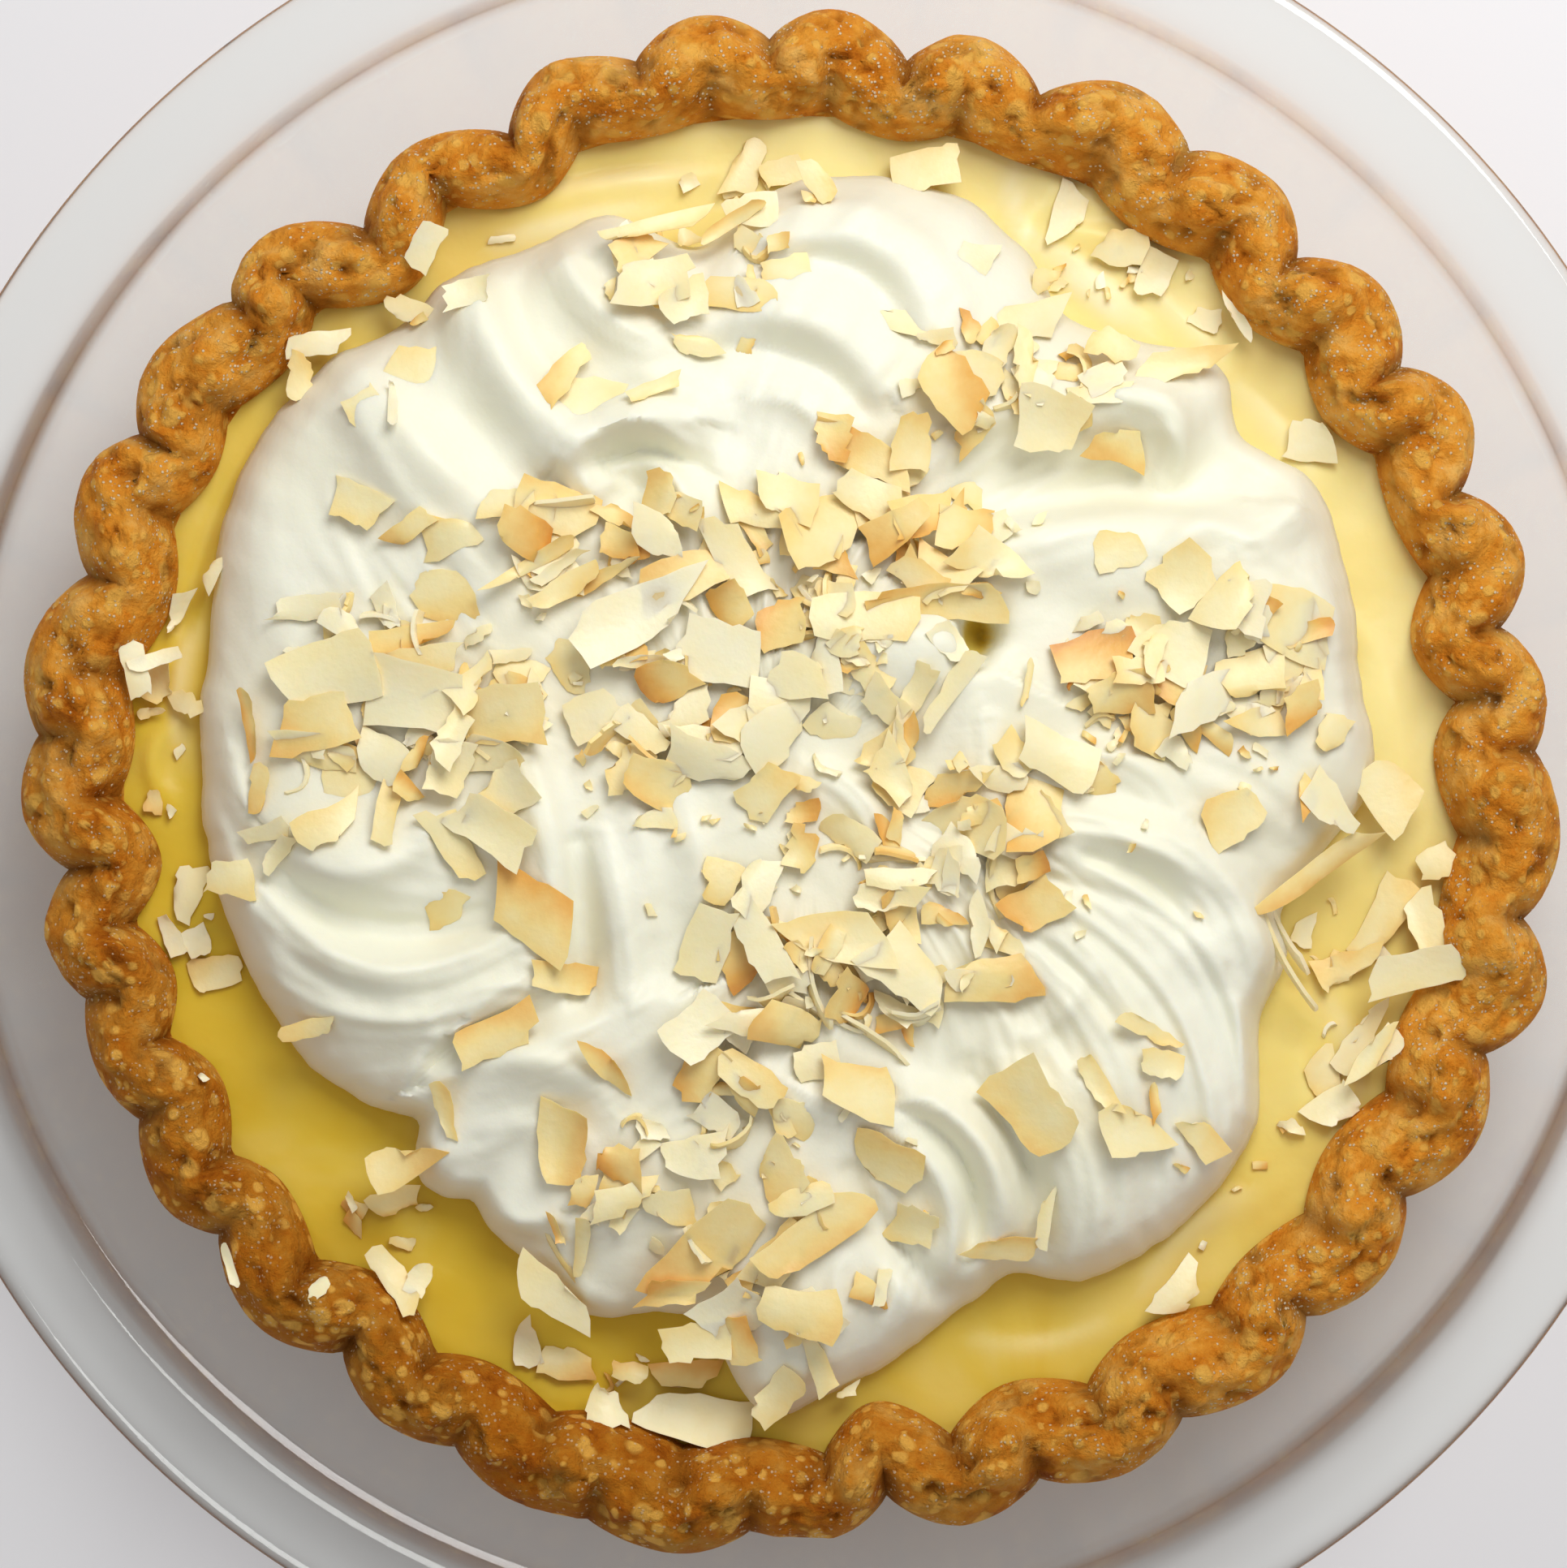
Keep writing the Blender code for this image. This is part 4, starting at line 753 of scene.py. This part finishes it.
        (-80.2, 21.7, 8.4, 2.5, 68, 2), (-75.3, 27.7, 5.3, 2.5, 60, 3), (-83.5, 9.7, 4.2, 1.9, 20, 4),
        (1.4, -8.3, 6.2, 4.8, 70, 6), (12.9, 1.3, 8.7, 5.8, -48, 4), (21.2, -3.9, 11.6, 8.7, -20, 4),
        (31, -1.3, 12.7, 6.9, 82, 6), (27.9, -11.4, 7.3, 5.2, 60, 5, "s"), (28, -6.9, 7.5, 6, -20, 2),
        (30.5, -10.4, 4.6, 3.1, 20, 8), (11.8, -14.8, 9.1, 4.6, -8, 3), (12.9, -9.8, 8.1, 1.9, -2, 3, "e"),
        (12.9, -11.8, 8.7, 2.7, -4, 3), (20.9, -11.8, 6.4, 3.7, 80, 2), (24.9, -12.7, 8.5, 1.2, -84, 4, "e"),
        (23.8, -17.9, 7.1, 4.6, -60, 2), (30.7, -16, 9.8, 7.7, 35, 7), (25.1, -24.3, 11.2, 5.4, 4, 6),
        (24.9, -25.1, 8.7, 2.5, -6, 2), (4.8, -20.2, 13.1, 7.9, 10, 4), (15.5, -23.1, 12, 7.7, -38, 3),
        (7.2, -27.7, 7.7, 4.6, 60, 8), (-0.6, -31.4, 8.3, 6.2, -30, 6), (2, -25.7, 11.4, 2.3, -76, 3, "e"),
        (5.4, -30.5, 16.6, 1.9, -26, 2, "e"), (11.3, -33.2, 12.5, 2.5, -36, 3, "e"), (12.7, -28.3, 8.3, 2.7, -32, 2),
        (8.5, -38.4, 10.4, 6.2, -18, 5), (12, -48.6, 9.6, 7.1, -22, 5), (15.5, -56.5, 6, 4.6, -12, 4),
        (26.8, -59.2, 8.8, 2.9, -2, 6), (32.6, -54.9, 10.2, 2.1, 82, 3), (30.7, -41.5, 11.6, 7.9, -58, 5),
        (38.4, -37.1, 12.3, 3.5, -66, 4), (43.5, -43.3, 8.3, 6.9, 15, 4), (46.3, -39.7, 6.6, 1.6, -80, 7),
        (46.3, -31.6, 10, 2.9, -36, 5), (47.1, -35.7, 5.8, 3.5, -20, 4), (52.3, -44.7, 7.3, 3.3, -50, 5),
        (56.3, -3.9, 7.3, 5.6, 28, 5), (65.8, -0.7, 5.6, 2.9, -70, 7), (69.4, -3.4, 9.4, 4.2, -50, 2),
        (67.9, -10.9, 15.7, 2.5, 38, 6), (62.6, -22, 15.3, 1.7, -60, 3, "e"), (63.7, -20.1, 10.5, 1.7, -58, 2, "e"),
        (66.5, -18.5, 4.6, 3.1, 80, 3), (76.9, -0.7, 8.9, 6.7, -50, 4), (77.2, -17.6, 11.2, 5.3, 62, 5),
        (82.1, -19, 11.2, 5.1, -75, 4), (83.6, -9.9, 4.6, 3.6, 20, 4), (71.6, -24.5, 10.5, 6.5, 8, 5),
        (80.6, -23.9, 11.6, 5.5, 14, 3), (74.2, -31.9, 10.1, 4.6, 70, 3), (76.9, -34, 7, 4, 62, 3),
        (75.3, -34.5, 8.9, 3.8, 70, 4), (69.5, -39, 8.2, 4.8, -75, 5), (71.1, -42.2, 7.8, 5.5, 30, 2),
        (64.7, -44.7, 3.6, 3, -50, 3), (50.5, -66.1, 8.6, 5.3, 55, 3), (53.5, -59.8, 1.3, 0.8, 60, 1),
        (2.5, -57.9, 17, 6.4, 42, 6), (0.9, -67.1, 10.5, 6.3, -12, 5), (-6.7, -71.3, 6.3, 3.6, -75, 7),
        (3.6, -74.5, 7, 2.5, -70, 4), (-2.2, -78.8, 8.9, 5.3, 44, 4), (6.8, -78.5, 4.2, 2.1, 10, 4),
        (-13.3, -81.9, 15.8, 6.1, -12, 3), (-12.2, -71.9, 8.6, 4.6, 5, 4), (-13.8, -76.7, 9.5, 4.2, 0, 7),
        (-24.3, -79.5, 6.5, 4.8, -80, 3), (-34.9, -72.4, 7, 3.6, -75, 2), (-29.1, -75.1, 7.8, 3.6, -12, 6),
        (-21.2, -76.1, 6.3, 3, -10, 6), (1.4, -53.2, 8.7, 4.2, 30, 4), (-0.1, -42.3, 7.3, 5.2, -10, 4, "s"),
        (38.3, 1.3, 7.9, 5.2, -12, 5, "s"), (-60.8, -64, 3.8, 2.3, 45, 2), (-72.5, -61.7, 5.6, 1.3, -72, 2),
        (-76.1, -37.6, 1.5, 0.9, -40, 1), (36.8, -18.9, 1.5, 0.9, 20, 3), (52.1, -16.6, 1.5, 1.2, 0, 5),
        (21.7, -24.6, 3.1, 2.1, 60, 4), (-28.7, 15.4, 7.3, 5.2, -70, 4, "s"), (-32.8, 10.2, 7.3, 5.8, 60, 3, "s"),
        (-40.6, 12.8, 6.9, 4.2, 40, 4), (-43.2, 6.5, 7.3, 4.2, 60, 3), (28.4, 3.9, 7.3, 4.6, -60, 4),
        (33.6, 3.9, 9.1, 5.4, -20, 3),
    ),
}


def flakeMaterial():
    # Shaved coconut: thin, waxy and half clear, cream white to toasted gold, browner at the toasted ends
    made, tree, shader = newMaterial("toasted shaved coconut")
    coords = objectCoords(tree)
    mottled = calc(tree, "MULTIPLY_ADD", addNoise(tree, coords, 3.5, 3.0), 0.26, readMark(tree, "toast"))
    tone = addRamp(
        tree, calc(tree, "SUBTRACT", mottled, 0.13),
        (0.05, "#fef2ce"), (0.28, "#feeab4"), (0.48, "#fbda90"), (0.72, "#edb45a"), (0.96, "#bc7020"))
    wire(tree, shader, {
        "Base Color": tone, "Normal": addBump(tree, addNoise(tree, coords, 0.9, 2.0), 0.3, 0.0002),
        "Roughness": 0.42,
        "Subsurface Weight": 0.35, "Subsurface Radius": (1.0, 0.7, 0.4), "Subsurface Scale": 0.0012,
    })
    return made


def blankFlakes(name, count):
    # One thin cut sheet, repeated by an array, so that flake number i is the i-th run of points
    def thicken(bm):
        grown = bmesh.ops.extrude_face_region(bm, geom=list(bm.faces))
        bmesh.ops.translate(bm, verts=[v for v in grown["geom"] if isinstance(v, bmesh.types.BMVert)], vec=(0, 0, 1))
        bm.verts.sort(key=lambda v: v.co.dot((1, 10, 100)))  # the same order every time
        bm.faces.sort(key=lambda f: f.calc_center_median().dot((1, 10, 100)))

    holder = addObject(name + "_blank", gridMesh(name, *flakeForm["cells"], 1.0, thicken))
    row = holder.modifiers.new("row", "ARRAY")
    row.count = count
    row.use_relative_offset = False
    row.use_constant_offset = True
    row.constant_offset_displace = (flakeForm["spacing"], 0, 0)
    bpy.context.view_layer.update()
    mesh = bpy.data.meshes.new_from_object(holder.evaluated_get(bpy.context.evaluated_depsgraph_get()))
    bpy.data.objects.remove(holder)
    mesh.name = name
    return mesh


def heightMap(pieces):
    count = int(2 * flakeForm["reach"] / flakeForm["grid"]) + 1
    graph = bpy.context.evaluated_depsgraph_get()
    trees = [BVHTree.FromObject(piece, graph) for piece in pieces]
    ground = np.full((count, count), flakeForm["floorHeight"])
    down = Vector((0, 0, -1))
    stops = -flakeForm["reach"] + np.arange(count) * flakeForm["grid"]
    for i, x in enumerate(stops):
        for j, y in enumerate(stops):
            if x * x + y * y > flakeForm["mapRadius"] ** 2:
                continue
            for tree in trees:
                hit = tree.ray_cast(Vector((x * mm, y * mm, 0.1)), down)[0]
                if hit is not None:
                    ground[i, j] = max(ground[i, j], hit.z / mm)
    return ground


def layFlake(local, row, ground, draw):
    # Shape one flake from its blank and lay it on what is under it; returns its points and how toasted each is
    x0, y0, length, width, turn, toast, kind = row
    u, v, upper = local[:, 0], local[:, 1], local[:, 2]
    corner = draw.uniform(0.75, 1.12, 4) + draw.choice((0, 0, 0, -0.5), 4)
    middle = draw.uniform(-0.10, 0.20, 4)
    side = draw.uniform(-0.24, 0.24, 4)
    east, west, north, south = (1 + u) / 2, (1 - u) / 2, (1 + v) / 2, (1 - v) / 2
    stretch = (corner[0] * east * north + corner[1] * west * north
               + corner[2] * west * south + corner[3] * east * south)
    bulge = middle[0] * east * (1 - v * v) + middle[1] * west * (1 - v * v)
    swell = middle[2] * north * (1 - u * u) + middle[3] * south * (1 - u * u)
    px = u * stretch + np.sign(u) * bulge * np.abs(u) + side[0] * v * east - side[1] * v * west
    py = v * stretch + np.sign(v) * swell * np.abs(v) + side[2] * u * north - side[3] * u * south
    border = (np.abs(u) > 0.99) | (np.abs(v) > 0.99)
    edge = np.column_stack((px * length, py * width, np.zeros(len(px))))
    tatter = noiseAt(edge, 2.2, 3, x0) * min(0.75, width * 0.16)
    a, b = px * length / 2, py * width / 2
    a = a + np.where(border, tatter, 0)
    b = b + np.where(border, -tatter * 0.8, 0)
    curlU, curlV, twist = draw.uniform(-0.7, 1.6), draw.uniform(-0.9, 0.9), draw.uniform(-0.5, 0.5)
    if kind == "s":
        curlU, curlV, twist = -abs(curlU) * 0.45, -abs(curlV) * 0.4, twist * 0.3  # half buried, so its edges sink in
    bend = (curlU * (u * u - 0.4) * length / 11 + curlV * (v * v - 0.4) * width / 8 + twist * u * v) * 0.9
    thick = flakeForm["thickness"]
    if kind == "e":  # stood on edge, so that its width rises
        width = b - b.min()
        b, bend = width * 0.35 + curlU * u * u * 1.2 + (upper - 0.5) * thick, width * 0.9
        upper = np.zeros(len(u))
    cosT, sinT = math.cos(math.radians(turn)), math.sin(math.radians(turn))

    def turned(across, along):
        return x0 + across * cosT - along * sinT, y0 + across * sinT + along * cosT

    gx, gy = turned(a, b)

    # a finer net of spots over the flake's outline feels the ground
    t = np.linspace(-0.9, 0.9, 9)
    netU, netV = [part.ravel() for part in np.meshgrid(t, t)]
    netX, netY = turned(netU * (a.max() - a.min()) / 2 * 0.92, netV * (b.max() - b.min()) / 2 * 0.92)
    cells = np.rint((np.array((netX, netY)) + flakeForm["reach"]) / flakeForm["grid"]).astype(int)
    i, j = np.clip(cells, 0, len(ground) - 1)
    felt = ground[i, j]
    plane = np.column_stack((netX - x0, netY - y0, np.ones(len(netX))))
    slope = np.linalg.lstsq(plane, felt, rcond=None)[0]
    flat = math.hypot(x0, y0) > flakeForm["flatBeyond"]
    limit = flakeForm["flatSlope" if flat else "maxSlope"]
    slope[:2] /= max(1.0, math.hypot(slope[0], slope[1]) / limit)
    slope[:2] += draw.normal(0, flakeForm["lean"], 2) * (kind == "f")
    slope[2] = 0
    percent, sink = flakeForm["settle"][kind]
    slope[2] = np.percentile(felt - plane @ slope, percent)
    level = slope[0] * (gx - x0) + slope[1] * (gy - y0) + slope[2] + sink
    low = bend.min() * (0.75 if kind != "e" else 1.0)
    z = level + bend - low + upper * thick
    over = max(0.0, z.max() - flakeForm["ceiling"])
    z = z - over
    if kind != "e":
        ground[i, j] = np.maximum(ground[i, j], plane @ slope + sink + thick * 0.9 - over)
    way = draw.uniform(0, 2 * math.pi)
    ahead = u * math.cos(way) + v * math.sin(way)
    warm = toast / 10 * (0.62 + 0.38 * softStep(-0.6, 1.0, ahead)) + 0.05 * border * (toast > 3)
    return np.column_stack((gx, gy, z)), warm


def brokenBits(draw):
    bits = []
    for x, y, spreadX, spreadY, count, longest in flakeForm["showers"]:
        for _ in range(count):
            way, far = draw.uniform(0, 2 * math.pi), math.sqrt(draw.uniform(0, 1))
            length = longest * draw.uniform(0.45, 1)
            bits.append((
                x + spreadX * far * math.cos(way), y + spreadY * far * math.sin(way),
                length, length * draw.uniform(0.35, 0.8), draw.uniform(0, 180), draw.uniform(0.5, 7.5),
                "f" if draw.uniform(0, 1) < 0.8 or longest < 3 else "e"))
    return bits


def makeFlakes(pieces):
    draw = np.random.default_rng(flakeForm["seed"])
    rows = brokenBits(draw) + [(*row, "f")[:7] for row in flakeForm["rows"]]
    mesh = blankFlakes("coconut_flakes", len(rows))
    spots = pointsOf(mesh).reshape(len(rows), -1, 3)
    ground = heightMap(pieces)
    toasts = []
    for number, row in enumerate(rows):
        local = spots[number].copy()
        local[:, 0] -= flakeForm["spacing"] * number
        spots[number], warm = layFlake(local, row, ground, draw)
        toasts.append(warm)
    flakes = finish("coconut_flakes", mesh, spots, {"toast": np.concatenate(toasts)}, flakeMaterial(), 40)


studio = {
    "floorSize": 6.0,
    "floor": "#e9e8ea",
    "keyPlace": (0.14, 0.33, 0.52),
    "keySize": 0.32,
    "keyWatts": 2.65,
    "skyStrength": 0.46,
    "sky": "#fafafa",
    "cameraPlace": (-0.0011, 0.0002, 0.9),
    "lens": 153.7,
}


def makeStudio():
    mesh = gridMesh("floor", 1, 1, studio["floorSize"] / 2)
    made, tree, shader = newMaterial("pale painted board")  # a plain even surface that only catches shadows
    wire(tree, shader, {"Base Color": linear(studio["floor"]), "Roughness": 0.6})
    mesh.materials.append(made)
    floor = addObject("floor", mesh)

    lamp = bpy.data.lights.new("key", "AREA")
    lamp.shape = "SQUARE"
    lamp.size = studio["keySize"]
    lamp.energy = studio["keyWatts"]
    key = addObject("key", lamp)
    key.location = studio["keyPlace"]
    key.rotation_euler = (-Vector(studio["keyPlace"])).to_track_quat("-Z", "Y").to_euler()

    world = bpy.data.worlds.new("sky")
    bpy.context.scene.world = world
    world.use_nodes = True
    wire(world.node_tree, world.node_tree.nodes["Background"], {
        "Color": linear(studio["sky"]), "Strength": studio["skyStrength"]})

    view = bpy.data.cameras.new("camera")
    view.lens = studio["lens"]
    view.sensor_width = 36.0
    view.sensor_fit = "HORIZONTAL"
    view.clip_start, view.clip_end = 0.01, 20
    camera = addObject("camera", view)
    camera.location = studio["cameraPlace"]
    bpy.context.scene.camera = camera
    bpy.context.scene.view_settings.view_transform = "Standard"
    print("studio ready")


makeDish()
crust = makeCrust()
custard = makeCustard()
cream = makeCream()
makeFlakes((crust, custard, cream))
makeStudio()
